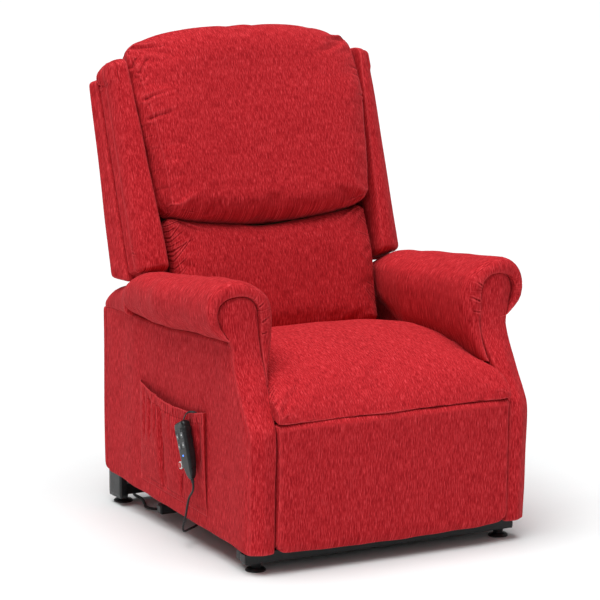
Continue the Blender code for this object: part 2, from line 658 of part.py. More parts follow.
def back():
    pivot = new_pivot("recline_pivot", (0, *RECLINE_PIVOT))
    place = back_placement()
    panel = box("back_panel", (-0.348, -0.0221, 0.004), (0.348, 0.016, 0.476))
    add(soften(on_back(panel), 0.006, 1), "fabric", pivot)
    frame = box("back_frame", (-0.238, 0.016 + GAP, -0.175), (0.238, 0.034, 0.470))
    add(on_back(frame), "plywood", pivot)
    for name, side in SIDES.items():
        wing = box("wing_" + name, (-0.5, 0.016 + GAP, 0.0), (0.5, 0.103, 0.470))
        for vert in wing.data.vertices:
            share = vert.co.z / 0.470
            inner = 0.2655 + 0.030 * share
            outer = 0.360 + 0.004 * share
            vert.co.x = side * (outer if vert.co.x * side > 0 else inner)
        add(soften(on_back(wing), 0.014, 2), "fabric", pivot)
    lumbar = box("lumbar_cushion", (-0.5, 0.034 + GAP, -0.130), (0.5, 0.112, 0.152))
    for vert in lumbar.data.vertices:
        vert.co.x = math.copysign(0.262 if vert.co.z > 0 else 0.244, vert.co.x)
    add(soften(on_back(lumbar), 0.024, 2), "fabric", pivot)
    head = box("head_cushion", (-0.5, 0.034 + GAP, 0.156), (0.5, 0.160, 0.553))
    for vert in head.data.vertices:
        half = 0.256 + 0.036 * (vert.co.z - 0.156) / 0.397
        front = vert.co.y > 0.1
        vert.co.x = math.copysign(half if front else 0.262, vert.co.x)
    add(soften(on_back(head), 0.024, 2), "fabric", pivot)

    reach = CHASSIS_LAYER[0] - 0.0015
    tube = cylinder("recline_tube", (-reach, *RECLINE_PIVOT), (reach, *RECLINE_PIVOT), 0.012, sides=16)
    for side in (-1, 1):
        board_low = place @ Vector((0, 0.0155, -0.170))
        board_high = place @ Vector((0, 0.0155, -0.020))
        bracket = plate("back_bracket", [
            (board_low.y, board_low.z), (0.240, 0.338), (0.260, 0.340), (0.262, 0.356),
            (board_high.y + 0.012, board_high.z - 0.01), (board_high.y, board_high.z)],
            (0.200, 0.206), side)
        weld(tube, bracket, pin("stub", RECLINE_PIVOT, 0.255, PIN_END, 0.008, side))
    lever = plate("recline_lever", bar_outline(RECLINE_PIVOT, BACK_ROD_PIVOT, 0.013, 4),
                  (BACK_MOTOR_X + LEVER_OFFSET[0], BACK_MOTOR_X + LEVER_OFFSET[1]))
    add(weld(tube, lever), "frame_paint", pivot)


# Footrest

def along_scissor(start, angle, length=SCISSOR_LENGTH):
    return (start[0] - length * math.sin(angle), start[1] - length * math.cos(angle))


def footrest():
    middle = along_scissor(FOOTREST_PIVOT, LOWER_LINK_ANGLE)
    tip = along_scissor(middle, UPPER_LINK_ANGLE)
    lower_pivot = new_pivot("footrest_lower_pivot", (0, *FOOTREST_PIVOT))
    upper_pivot = new_pivot("footrest_upper_pivot", (0, *middle), lower_pivot)
    board_pivot = new_pivot("footrest_board_pivot", (0, *tip), upper_pivot)
    for name, side in SIDES.items():
        lower = plate("footrest_lower_link_" + name, bar_outline(FOOTREST_PIVOT, middle, 0.012),
                      LOWER_LINK_LAYER, side)
        weld(lower,
             pin("outer_pin", FOOTREST_PIVOT, 0.258, PIN_END, PIN_RADIUS, side),
             pin("inner_pin", middle, 0.258, 0.2492, SMALL_PIN_RADIUS, side))
        add(lower, "frame_paint", lower_pivot)
        upper = plate("footrest_upper_link_" + name, bar_outline(middle, tip, 0.012),
                      UPPER_LINK_LAYER, side, [(middle, SMALL_PIN_RADIUS + GAP)])
        weld(upper, pin("tip_pin", tip, 0.251, 0.2415, SMALL_PIN_RADIUS, side))
        add(upper, "frame_paint", upper_pivot)
        board_y = -0.360 + GAP
        bracket = plate("footrest_bracket_" + name, [
            (board_y, 0.130), (board_y, 0.240), (tip[0] - 0.008, tip[1] + 0.012),
            (tip[0] + 0.008, tip[1] + 0.011), (tip[0] + 0.012, tip[1] - 0.003),
            (tip[0] + 0.004, tip[1] - 0.013)], FOOTREST_BRACKET_LAYER, side,
            [(tip, SMALL_PIN_RADIUS + GAP)])
        add(bracket, "frame_paint", board_pivot)
    add(box("footrest_board", (-0.272, -0.372, 0.062), (0.272, -0.360, 0.300)), "plywood", board_pivot)
    pad = plate("footrest_pad", [
        (-0.3723, 0.047), (-0.3723, 0.326), (-0.404, 0.326), (-0.412, 0.318), (-0.409, 0.190),
        (-0.402, 0.062), (-0.392, 0.047)], (-SEAT_HALF_WIDTH, SEAT_HALF_WIDTH))
    add(pad, "fabric", board_pivot)


base_frame()
feet()
power_supply()
lift_linkage()
actuator("lift_actuator", LIFT_MOTOR_PIVOT, LIFT_ROD_PIVOT, LIFT_MOTOR_X, 0.350, 0.180, 0.176, -1)
chassis()
seat_cushion()
arms()
pocket_and_handset()
back()
actuator("back_actuator", BACK_MOTOR_PIVOT, BACK_ROD_PIVOT, BACK_MOTOR_X, 0.300, 0.165, 0.086, 1)
footrest()
bpy.context.view_layer.update()
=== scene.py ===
"""Looks of the lift recliner chair: padded red chenille, black steel and plastic, its cords and a stage.

The chair faces -Y and the sitter's left is +X.  Metres.  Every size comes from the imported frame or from
the named values below, and every surface is procedural.
"""
import json
import math

import bmesh
import bpy
import numpy as np
from mathutils import Matrix, Vector


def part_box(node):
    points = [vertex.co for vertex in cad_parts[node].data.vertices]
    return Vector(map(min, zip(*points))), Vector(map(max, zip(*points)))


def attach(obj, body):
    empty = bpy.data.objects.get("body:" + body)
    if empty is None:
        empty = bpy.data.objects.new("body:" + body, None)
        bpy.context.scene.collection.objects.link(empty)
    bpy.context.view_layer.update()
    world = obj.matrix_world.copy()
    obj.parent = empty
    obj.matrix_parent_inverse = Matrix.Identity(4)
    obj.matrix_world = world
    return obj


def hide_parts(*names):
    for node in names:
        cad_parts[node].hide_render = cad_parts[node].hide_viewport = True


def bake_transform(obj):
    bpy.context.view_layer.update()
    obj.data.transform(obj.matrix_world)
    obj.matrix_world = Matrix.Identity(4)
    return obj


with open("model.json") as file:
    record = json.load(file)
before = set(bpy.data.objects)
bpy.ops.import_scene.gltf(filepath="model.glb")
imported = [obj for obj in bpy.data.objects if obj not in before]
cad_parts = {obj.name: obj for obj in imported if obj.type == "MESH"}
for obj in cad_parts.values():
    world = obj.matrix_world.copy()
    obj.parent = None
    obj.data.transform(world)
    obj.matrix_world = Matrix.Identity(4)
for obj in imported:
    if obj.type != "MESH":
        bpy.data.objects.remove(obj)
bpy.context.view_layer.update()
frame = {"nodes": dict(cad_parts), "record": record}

# Camera
CAMERA_PLACE = (-3.004, -5.588, 1.665)
CAMERA_YAW = math.radians(28.11)
CAMERA_PITCH = math.radians(10.32)
CAMERA_LENS = 170.6
SENSOR = 36.0

# Light: where each sun stands, its strength, and how many degrees wide it is
LIGHTS = {"key": ((-0.20, -0.10, 1.0), 3.65, 52), "fill": ((-1.0, -0.9, 0.40), 0.34, 60),
          "edge": ((0.9, -0.5, 0.6), 0.16, 60)}
SKY_STRENGTH = 0.22

# The back leans about its foot
BACK_FOOT = Vector((0, 0.238, 0.542))
BACK_LEAN = math.radians(19.8)
BACK_HIGH = 0.470

# Cords
HANDSET_CORD_RADIUS = 0.0025
HANDSET_CORD_ROUTE = [
    (-0.3705, -0.1615, 0.1665), (-0.3700, -0.1635, 0.155), (-0.3665, -0.152, 0.140),
    (-0.3650, -0.132, 0.122), (-0.3650, -0.122, 0.100), (-0.3650, -0.112, 0.072),
    (-0.3640, -0.098, 0.048), (-0.3560, -0.086, 0.034), (-0.3400, -0.074, 0.033),
    (-0.3120, -0.056, 0.034), (-0.2900, -0.042, 0.040), (-0.2800, -0.030, 0.060),
    (-0.2795, -0.012, 0.095), (-0.2795, 0.006, 0.145), (-0.2795, 0.018, 0.185),
    (-0.2770, 0.020, 0.204),
    (-0.2680, 0.021, 0.217), (-0.2500, 0.023, 0.232), (-0.2300, 0.028, 0.262),
    (-0.2050, 0.036, 0.289), (-0.1600, 0.046, 0.2965), (-0.0900, 0.056, 0.2965),
    (0.0000, 0.050, 0.2965), (0.0600, 0.036, 0.2905), (0.0850, 0.0305, 0.2815),
    (0.0980, 0.030, 0.2802), (0.1095, 0.030, 0.2800)]
MAINS_RADIUS = 0.00325
MAINS_ROUTE = [
    (0.0235, 0.240, 0.066), (0.010, 0.240, 0.0655), (-0.008, 0.240, 0.052), (-0.020, 0.239, 0.024),
    (-0.036, 0.238, 0.0075), (-0.060, 0.236, 0.0040), (-0.120, 0.226, 0.0036),
    (-0.190, 0.215, 0.0036), (-0.245, 0.213, 0.0036), (-0.278, 0.228, 0.0036),
    (-0.289, 0.255, 0.0036), (-0.279, 0.285, 0.0036), (-0.266, 0.330, 0.0036),
    (-0.262, 0.380, 0.0036), (-0.238, 0.425, 0.0036), (-0.195, 0.450, 0.0036), (-0.1500, 0.4430, 0.0036),
    (-0.1230, 0.4340, 0.0036)]
COIL_CENTRE = Vector((-0.105, 0.4755, 0))
COIL_INNER, COIL_OUTER, COIL_ROWS = 0.0290, 0.0358, (0.0037, 0.0104, 0.0171)
MAINS_TAIL = [
    (-0.0990, 0.4345, 0.0150), (-0.0790, 0.4268, 0.0125), (-0.0580, 0.4240, 0.0118),
    (-0.0410, 0.4300, 0.0125), (-0.0320, 0.4410, 0.0130), (-0.0300, 0.4495, 0.0130)]


# Mesh building

def add_object(name, data):
    """A new object in the scene."""
    obj = bpy.data.objects.new(name, data)
    bpy.context.scene.collection.objects.link(obj)
    return obj


def make_mesh(name, points, faces):
    """An object with a mesh of these points and faces."""
    mesh = bpy.data.meshes.new(name)
    mesh.from_pydata(np.asarray(points, float).tolist(), [], faces)
    return add_object(name, mesh)


def make_piece(name, points, faces):
    """A mesh object from points and quads, with its faces turned outward and smooth."""
    points = np.asarray(points, float)
    a, b, c, d = points[faces.T]
    if (np.cross(a, b) * c).sum() + (np.cross(a, c) * d).sum() < 0:
        faces = faces[:, ::-1]
    obj = make_mesh(name, points, faces.tolist())
    obj.data.shade_smooth()
    return obj


def ring_quads(rings, count):
    """Quads between closed rings, each of the same number of points."""
    ids = np.arange(rings * count).reshape(rings, count)
    after = np.roll(ids, -1, axis=1)
    return np.stack([ids[:-1], after[:-1], after[1:], ids[1:]], -1).reshape(-1, 4)


def close_ends(obj):
    """Fills a loft's two open ends."""
    bm = bmesh.new()
    bm.from_mesh(obj.data)
    rim = [edge for edge in bm.edges if edge.is_boundary]
    bmesh.ops.holes_fill(bm, edges=rim, sides=0)
    bmesh.ops.recalc_face_normals(bm, faces=bm.faces)
    bm.to_mesh(obj.data)
    bm.free()
    obj.data.shade_smooth()


def loft(name, rings):
    """A closed solid through rings of points."""
    obj = make_piece(name, np.concatenate(rings), ring_quads(len(rings), len(rings[0])))
    close_ends(obj)
    return obj


def block(counts):
    """The surface of a unit cube as a closed grid: points from 0 to 1, and quads."""
    lattice = np.indices([n + 1 for n in counts]).reshape(3, -1).T
    on = (lattice == 0).any(1) | (lattice == counts).any(1)
    ids = np.full(len(lattice), -1)
    ids[on] = np.arange(on.sum())
    ids = ids.reshape([n + 1 for n in counts])
    quads = []
    for axis in range(3):
        for end in (0, counts[axis]):
            sheet = ids.take(end, axis)
            four = [sheet[:-1, :-1], sheet[1:, :-1], sheet[1:, 1:], sheet[:-1, 1:]]
            four = np.stack(four, -1).reshape(-1, 4)
            quads.append(four if (end > 0) != (axis == 1) else four[:, ::-1])
    return lattice[on] / counts, np.concatenate(quads)


def crowd_ends(t, amount=0.5):
    """Moves evenly spaced values towards 0 and 1, where a cushion's seams need finer faces."""
    return t - amount * np.sin(2 * np.pi * t) / (2 * np.pi)


def rounded(points, low, high, near, far):
    """Rounds a box's surface points, by one set of radii at its low ends and one at its high ends."""
    core = np.clip(points, low + near, high - far)
    out = points - core
    radii = np.where(out < 0, near, far)
    out = out / radii
    length = np.maximum(np.linalg.norm(out, axis=1, keepdims=True), 1)
    return core + radii * out / length


def rounded_box(counts, low, high, near, amount=0.4, far=None):
    """Unit coordinates, rounded points and quads of a soft block."""
    unit, quads = block(counts)
    even = crowd_ends(unit, amount)
    low, high, near, far = (np.asarray(v, float) for v in (low, high, near, near if far is None else far))
    return unit, rounded(low + even * (high - low), low, high, near, far), quads


def coordinates(obj):
    """A mesh's points as an array."""
    values = np.zeros(len(obj.data.vertices) * 3)
    obj.data.vertices.foreach_get("co", values)
    return values.reshape(-1, 3)


def set_coordinates(obj, points):
    """Moves a mesh's points to new places."""
    obj.data.vertices.foreach_set("co", np.asarray(points, float).ravel())
    obj.data.update()


def vertex_normals(obj):
    """A mesh's point normals as an array."""
    values = np.zeros(len(obj.data.vertices) * 3)
    obj.data.vertex_normals.foreach_get("vector", values)
    return values.reshape(-1, 3)


def settle(obj):
    """Applies an object's modifiers to its mesh."""
    bpy.context.view_layer.update()
    seen = obj.evaluated_get(bpy.context.evaluated_depsgraph_get())
    mesh = bpy.data.meshes.new_from_object(seen)
    obj.modifiers.clear()
    obj.data = mesh
    return obj


def subdivide(obj, levels=1):
    """Smooths a mesh by subdivision."""
    modifier = obj.modifiers.new("smooth", "SUBSURF")
    modifier.levels = levels
    modifier.render_levels = levels
    return settle(obj)


def push(obj, depth):
    """Moves each point along its normal by a distance."""
    set_coordinates(obj, coordinates(obj) + vertex_normals(obj) * depth[:, None])


def smooth_curve(controls, count, closed=False):
    """Evenly numbered points on a Catmull-Rom curve through control points."""
    controls = np.asarray(controls, float)
    if closed:
        ends = np.concatenate([controls[-1:], controls, controls[:2]])
        spans = len(controls)
    else:
        first, last = 2 * controls[0] - controls[1], 2 * controls[-1] - controls[-2]
        ends = np.concatenate([first[None], controls, last[None]])
        spans = len(controls) - 1
    places = np.linspace(0, spans, count, endpoint=not closed)
    at = np.minimum(places.astype(int), spans - 1)
    t = (places - at)[:, None]
    a, b, c, d = (ends[at + i] for i in range(4))
    return 0.5 * (2 * b + (c - a) * t + (2 * a - 5 * b + 4 * c - d) * t * t
                  + (3 * b - a - 3 * c + d) * t ** 3)


def distance_along(path):
    """How far along a path each of its points is."""
    return np.concatenate([[0], np.cumsum(np.linalg.norm(np.diff(path, axis=0), axis=1))])


def look_up(value, table):
    """A table's second column, at values of its first."""
    return np.interp(value, *zip(*table))


def smooth_step(value, low, high):
    """Rises smoothly from 0 at low to 1 at high."""
    t = np.clip((value - low) / (high - low), 0, 1)
    return t * t * (3 - 2 * t)


def ridge(value, centre, width):
    """A bell shape, 1 at its centre."""
    return np.exp(-((value - centre) / width) ** 2)


def unit_rows(vectors):
    """Each row as a direction of length 1."""
    return vectors / np.linalg.norm(vectors, axis=1, keepdims=True)


def on_back(points):
    """From the back's own axes, across, forward and along, to the frame."""
    points = np.asarray(points, float)
    c, s = math.cos(BACK_LEAN), math.sin(BACK_LEAN)
    x, d, h = points.T
    return np.stack([x, BACK_FOOT.y + h * s - d * c, BACK_FOOT.z + h * c + d * s], 1)


def back_axes(points):
    """The reverse of on_back."""
    c, s = math.cos(BACK_LEAN), math.sin(BACK_LEAN)
    y, z = points[:, 1] - BACK_FOOT.y, points[:, 2] - BACK_FOOT.z
    return points[:, 0], -y * c + z * s, y * s + z * c


# Sewn creases

def crease_marks(seed, start, end, spacing, slant, length, width, depth):
    """Creases at uneven places along a seam: place, slant, length, width and depth of each."""
    random = np.random.default_rng(seed)
    marks, place = [], start
    while place < end:
        size = random.uniform(0.35, 1.0)
        marks.append((place, slant * random.uniform(0.3, 1.4), length * size * random.uniform(0.6, 1.2),
                      width * random.uniform(0.7, 1.3), depth * size))
        place += spacing * random.uniform(0.5, 1.6)
    return marks


def crease_depth(along, inward, marks):
    """How deep sewn-in creases are, from distances along a seam and in from it."""
    depth = np.zeros(len(along))
    near = inward > -0.012
    for place, slant, length, width, deep in marks:
        off = along - place - slant * inward
        fold = ridge(off, 0, width) - 0.55 * ridge(off, 1.7 * width, 1.2 * width)
        depth += near * deep * fold * np.exp(-(np.maximum(inward, 0) / length) ** 2)
    return depth


def side_creases(x, along, inward, seed, *marks):
    """Creases along the seams of a cushion's two sides."""
    depth = np.zeros(len(x))
    for sign, number in ((-1, seed), (1, seed + 1)):
        depth += (x * sign > 0) * crease_depth(along, inward, crease_marks(number, *marks))
    return depth


def fold_depth(points, folds):
    """How deep single folds are; each is a path in the points' own axes, a width and a depth."""
    depth = np.zeros(len(points))
    for path, width, deep in folds:
        path = smooth_curve(path, 14)
        near = np.flatnonzero(np.linalg.norm(points - path.mean(0), axis=1)
                              < np.ptp(path, axis=0).max() + 5 * width)
        step, nearest = np.diff(path, axis=0), np.full(len(near), 9.0)
        fade = np.zeros(len(near))
        for i, (start, run) in enumerate(zip(path[:-1], step)):
            share = np.clip((points[near] - start) @ run / (run @ run), 0, 1)
            far = np.linalg.norm(points[near] - start - share[:, None] * run, axis=1)
            closer = far < nearest
            nearest = np.where(closer, far, nearest)
            fade = np.where(closer, 1 - (i + share) / len(step), fade)
        shape = ridge(nearest, 0, width) - 0.40 * ridge(nearest, 2.0 * width, width)
        depth[near] += deep * shape * np.clip(fade, 0, 1) ** 0.8
    return depth


# Cloth simulation

PUFF_PRESSURE, PUFF_STIFFNESS, PUFF_BENDING = 4.0, 15.0, 0.6
PUFFED = []


def puff_later(obj, held, cap, grow):
    """Marks a piece to be swollen as cloth; held is how firmly each point is sewn down, 0 to 1."""
    group = obj.vertex_groups.new(name="held")
    for weight in np.unique(held.round(2)):
        if weight > 0:
            members = np.flatnonzero(held.round(2) == weight).tolist()
            group.add(members, float(weight), "REPLACE")
    PUFFED.append((obj, cap, grow))


def puff_all(frames=20):
    """Swells the marked pieces with cloth pressure, each point kept within a cap of its start."""
    scene = bpy.context.scene
    starts = []
    for obj, _, grow in PUFFED:
        starts.append(coordinates(obj))
        cloth = obj.modifiers.new("cloth", "CLOTH")
        cloth.point_cache.frame_start = 1
        cloth.point_cache.frame_end = frames
        settings = cloth.settings
        settings.use_pressure = True
        settings.uniform_pressure_force = PUFF_PRESSURE
        settings.effector_weights.gravity = 0
        settings.vertex_group_mass = "held"
        settings.shrink_min = -grow
        settings.tension_stiffness = PUFF_STIFFNESS
        settings.compression_stiffness = PUFF_STIFFNESS
        settings.bending_stiffness = PUFF_BENDING
        settings.quality = 5
        cloth.collision_settings.use_collision = False
    for number in range(1, frames + 1):
        scene.frame_set(number)
    seen_by = bpy.context.evaluated_depsgraph_get()
    for (obj, cap, _), start in zip(PUFFED, starts):
        mesh = obj.evaluated_get(seen_by).data
        swollen = np.zeros(len(mesh.vertices) * 3)
        mesh.vertices.foreach_get("co", swollen)
        moved = swollen.reshape(-1, 3) - start
        length = np.linalg.norm(moved, axis=1, keepdims=True)
        kept = cap * np.tanh(length / cap) / np.maximum(length, 1e-9)
        obj.modifiers.clear()
        set_coordinates(obj, start + moved * kept)
    scene.frame_set(1)


# Surface attributes

WEAR_AND_SHADE_SCALE = 0.006

def lay_weave(obj, rule):
    """Stores how far each face corner is across and along the cloth's warp, in metres."""
    mesh = obj.data
    count = len(mesh.loops)
    corner = np.zeros(count, int)
    mesh.loops.foreach_get("vertex_index", corner)
    sizes = np.zeros(len(mesh.polygons), int)
    mesh.polygons.foreach_get("loop_total", sizes)
    normals = np.zeros(len(mesh.polygons) * 3)
    mesh.polygons.foreach_get("normal", normals)
    normals = np.repeat(normals.reshape(-1, 3), sizes, axis=0)
    across, along = rule(coordinates(obj)[corner], normals)
    weave = mesh.attributes.new("weave", "FLOAT_VECTOR", "CORNER")
    weave.data.foreach_set("vector", np.stack([across, along, np.zeros(count)], 1).ravel())


def lay_wear_and_fold_shade(obj):
    """Stores how much each point stands out, 1 on a ridge and -1 in a fold; the cloth is lighter on ridges as
    worn nap and darker in folds as painted shade.
    """
    mesh = obj.data
    points, normals = coordinates(obj), vertex_normals(obj)
    edges = np.zeros(len(mesh.edges) * 2, int)
    mesh.edges.foreach_get("vertices", edges)
    a, b = edges.reshape(-1, 2).T
    gap = points[b] - points[a]
    size = np.maximum((gap ** 2).sum(1), 1e-12)
    total, uses = np.zeros(len(points)), np.zeros(len(points))
    for start, sign in ((a, 1), (b, -1)):
        np.add.at(total, start, -sign * (normals[start] * gap).sum(1) / size)
        np.add.at(uses, start, 1)
    wear_and_fold_shade = np.clip(2 * WEAR_AND_SHADE_SCALE * total / np.maximum(uses, 1), -1, 1)
    attribute = mesh.attributes.new("wear_and_fold_shade", "FLOAT", "POINT")
    attribute.data.foreach_set("value", wear_and_fold_shade)


def facing(normals, axis, limit=0.72):
    """Which faces look mostly along an axis, either way."""
    return np.abs(normals[:, axis]) > limit


def upright_weave(points, normals):
    """Warp up the front and back faces, over the top, and up the sides."""
    side = facing(normals, 0)
    across = np.where(side, points[:, 1], points[:, 0])
    along = np.where(side, points[:, 2], points[:, 2] + points[:, 1])
    return across, along


def seat_weave(points, normals):
    """Warp from the rear to the front and down over it, drawn aside near the side seams."""
    side = facing(normals, 0)
    across = np.where(side, points[:, 1], points[:, 0] * (1 + 0.25 * np.abs(points[:, 0])))
    along = np.where(side, points[:, 2], -points[:, 1] - points[:, 2])
    return across, along


def roll_weave(points, normals):
    """Warp round the arm's roll."""
    centre_x, centre_z, radius = 0.318, 0.556, 0.070
    angle = np.arctan2(points[:, 2] - centre_z, np.abs(points[:, 0]) - centre_x)
    round_it = np.where(angle < -math.pi / 2, angle + 2 * math.pi, angle) * radius
    front = facing(normals, 1)
    across = np.where(front, points[:, 0], points[:, 1])
    return across, np.where(front, points[:, 2], round_it)


# Materials

class Nodes:
    """A short way to write a material's node tree."""

    def __init__(self, name):
        self.material = bpy.data.materials.new(name)
        self.material.use_nodes = True
        self.tree = self.material.node_tree
        self.shader = self.tree.nodes["Principled BSDF"]

    def add(self, kind, **settings):
        node = self.tree.nodes.new(kind)
        for key, value in settings.items():
            setattr(node, key, value)
        return node

    def link(self, source, target):
        self.tree.links.new(source, target)

    def fixed(self, **values):
        for key, value in values.items():
            self.shader.inputs[key.replace("_", " ")].default_value = value

    def scaled(self, source, scale):
        node = self.add("ShaderNodeMapping")
        node.inputs["Scale"].default_value = scale
        self.link(source, node.inputs["Vector"])
        return node.outputs["Vector"]

    def noise(self, source, scale, detail=2.0, roughness=0.55):
        node = self.add("ShaderNodeTexNoise")
        node.inputs["Scale"].default_value = 1.0
        node.inputs["Detail"].default_value = detail
        node.inputs["Roughness"].default_value = roughness
        self.link(self.scaled(source, scale), node.inputs["Vector"])
        return node.outputs["Fac"]

    def math(self, operation, a, b):
        node = self.add("ShaderNodeMath", operation=operation)
        for socket, value in zip(node.inputs, (a, b)):
            if isinstance(value, (int, float)):
                socket.default_value = value
            else:
                self.link(value, socket)
        return node.outputs["Value"]

    def remap(self, value, low, high, to_low=0.0, to_high=1.0):
        node = self.add("ShaderNodeMapRange")
        for key, number in (("From Min", low), ("From Max", high), ("To Min", to_low), ("To Max", to_high)):
            node.inputs[key].default_value = number
        self.link(value, node.inputs["Value"])
        return node.outputs["Result"]

    def ramp(self, value, stops):
        node = self.add("ShaderNodeValToRGB")
        ramp = node.color_ramp
        while len(ramp.elements) < len(stops):
            ramp.elements.new(0.5)
        for element, (place, colour) in zip(ramp.elements, stops):
            element.position = place
            element.color = (*colour, 1)
        self.link(value, node.inputs["Fac"])
        return node.outputs["Color"]

    def mix(self, share, a, b):
        node = self.add("ShaderNodeMix", data_type="RGBA")
        for socket, value in zip((node.inputs[0], node.inputs[6], node.inputs[7]), (share, a, b)):
            if isinstance(value, (int, float)):
                socket.default_value = value
            elif isinstance(value, tuple):
                socket.default_value = (*value, 1)
            else:
                self.link(value, socket)
        return node.outputs[2]

    def bump(self, heights):
        """Bumps laid one on another: (height, strength, distance) each."""
        normal = None
        for height, strength, distance in heights:
            node = self.add("ShaderNodeBump")
            node.inputs["Strength"].default_value = strength
            node.inputs["Distance"].default_value = distance
            self.link(height, node.inputs["Height"])
            if normal is not None:
                self.link(normal, node.inputs["Normal"])
            normal = node.outputs["Normal"]
        self.link(normal, self.shader.inputs["Normal"])

    def coloured(self, value, *stops):
        """Base colour from a pattern, through (place, colour) stops."""
        self.link(self.ramp(value, stops), self.shader.inputs["Base Color"])

    def rough(self, value, low, high):
        """Roughness from a noise's middle range."""
        self.link(self.remap(value, 0.3, 0.7, low, high), self.shader.inputs["Roughness"])

    def attribute(self, name, output):
        return self.add("ShaderNodeAttribute", attribute_name=name).outputs[output]

    def object_place(self):
        return self.add("ShaderNodeTexCoord").outputs["Object"]


def chenille():
    """Red chenille: fine streaks along the warp, soft patches of nap, lighter worn ridges, and painted shade
    darkening its folds and creases.
    """
    n = Nodes("red_chenille")
    cloth = n.attribute("weave", "Vector")
    fine = n.noise(cloth, (900, 105, 1), 1.0, 0.5)
    broad = n.noise(cloth, (520, 42, 1), 1.0, 0.5)
    patch = n.noise(cloth, (34, 9, 1), 2.0)
    thread = n.noise(cloth, (1500, 700, 1), 1.0)
    streak = n.math("ADD", n.math("MULTIPLY", fine, 0.42), n.math("MULTIPLY", broad, 0.50))
    streak = n.math("ADD", streak, n.math("MULTIPLY", patch, 0.08))
    colour = n.ramp(streak, [
        (0.34, (0.250, 0.0060, 0.0092)), (0.44, (0.350, 0.0102, 0.0150)),
        (0.51, (0.445, 0.0160, 0.0215)), (0.58, (0.560, 0.0290, 0.0365)),
        (0.68, (0.690, 0.0600, 0.0710))])
    wear_and_fold_shade = n.attribute("wear_and_fold_shade", "Fac")
    colour = n.mix(n.remap(wear_and_fold_shade, 0.12, 0.9, 0.0, 0.40), colour, (0.760, 0.0800, 0.0900))
    # Painted shade: folds and creases are darkened towards a deep red, standing in for the shade that falls
    # in them.
    colour = n.mix(n.remap(wear_and_fold_shade, -0.10, -0.8, 0.0, 0.75), colour, (0.110, 0.0025, 0.0040))
    n.link(colour, n.shader.inputs["Base Color"])
    n.rough(fine, 1.0, 0.85)
    n.fixed(Sheen_Weight=0.07, Sheen_Roughness=0.4, Sheen_Tint=(1.0, 0.40, 0.42, 1), Specular_IOR_Level=0.10)
    n.bump([(broad, 0.30, 0.0010), (fine, 0.45, 0.0008), (thread, 0.35, 0.0004)])
    return n.material


def painted_steel():
    """Black powder coat with a fine orange peel and dust on it."""
    n = Nodes("painted_steel")
    place = n.object_place()
    peel = n.noise(place, (900, 900, 900), 2.0)
    dust = n.noise(place, (45, 45, 45), 4.0)
    n.coloured(dust, (0.35, (0.010, 0.0115, 0.012)), (0.65, (0.021, 0.023, 0.024)))
    n.rough(dust, 0.36, 0.54)
    n.fixed(Specular_IOR_Level=0.30)
    n.bump([(peel, 0.25, 0.0002)])
    return n.material


def bright_zinc():
    """Zinc plate, brushed one way, with faint stains."""
    n = Nodes("bright_zinc")
    place = n.object_place()
    brushed = n.noise(place, (1500, 90, 90), 3.0)
    stain = n.noise(place, (60, 60, 60), 3.0)
    n.coloured(stain, (0.35, (0.42, 0.43, 0.44)), (0.65, (0.58, 0.58, 0.56)))
    n.rough(brushed, 0.24, 0.42)
    n.fixed(Metallic=1.0)
    n.bump([(brushed, 0.15, 0.0001)])
    return n.material


def moulded_plastic(name, dark, light, roughness):
    """Moulded plastic with a fine spark-eroded grain."""
    n = Nodes(name)
    place = n.object_place()
    grain = n.noise(place, (1600, 1600, 1600), 2.0)
    rub = n.noise(place, (70, 70, 70), 3.0)
    n.coloured(rub, (0.35, dark), (0.65, light))
    n.rough(rub, roughness - 0.07, roughness + 0.08)
    n.fixed(Specular_IOR_Level=0.32)
    n.bump([(grain, 0.30, 0.00015)])
    return n.material


def plywood():
    """Birch plywood: long grain over a broader figure."""
    n = Nodes("plywood")
    place = n.object_place()
    grain = n.noise(place, (160, 9, 160), 4.0)
    figure = n.noise(place, (14, 4, 14), 2.0)
    tone = n.math("ADD", n.math("MULTIPLY", grain, 0.6), n.math("MULTIPLY", figure, 0.4))
    n.coloured(tone, (0.35, (0.34, 0.22, 0.115)), (0.50, (0.47, 0.33, 0.185)), (0.66, (0.58, 0.44, 0.27)))
    n.rough(grain, 0.55, 0.75)
    n.bump([(grain, 0.3, 0.0003)])
    return n.material


def glowing(name, colour, strength):
    """A small lit lens with faint brighter patches."""
    n = Nodes(name)
    cloud = n.noise(n.object_place(), (900, 900, 900), 1.0)
    lit = n.ramp(cloud, [(0.3, tuple(0.75 * c for c in colour)), (0.7, colour)])
    n.link(lit, n.shader.inputs["Base Color"])
    n.link(lit, n.shader.inputs["Emission Color"])
    n.fixed(Emission_Strength=strength, Roughness=0.25)
    return n.material


CHENILLE = chenille()
STEEL = painted_steel()
ZINC = bright_zinc()
PLASTIC = moulded_plastic("black_plastic", (0.007, 0.007, 0.008), (0.012, 0.012, 0.013), 0.34)
KEYCAP = moulded_plastic("button_plastic", (0.10, 0.105, 0.11), (0.14, 0.145, 0.15), 0.45)
RUBBER = moulded_plastic("cable_rubber", (0.011, 0.011, 0.012), (0.020, 0.020, 0.021), 0.52)
PALE = moulded_plastic("pale_plastic", (0.62, 0.62, 0.60), (0.74, 0.74, 0.73), 0.40)
RED_DOT = moulded_plastic("red_plastic", (0.42, 0.012, 0.012), (0.55, 0.020, 0.018), 0.35)
WOOD = plywood()
BLUE_LIGHT = glowing("blue_light", (0.05, 0.22, 1.0), 2.5)


def dress(obj, material, body, slot, *nodes):
    """Gives a piece its material and body, and hides the CAD nodes it stands for; the slot argument is not
    used.
    """
    obj.data.materials.clear()
    obj.data.materials.append(material)
    if body:
        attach(obj, body)
    if nodes:
        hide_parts(*nodes)
    return obj


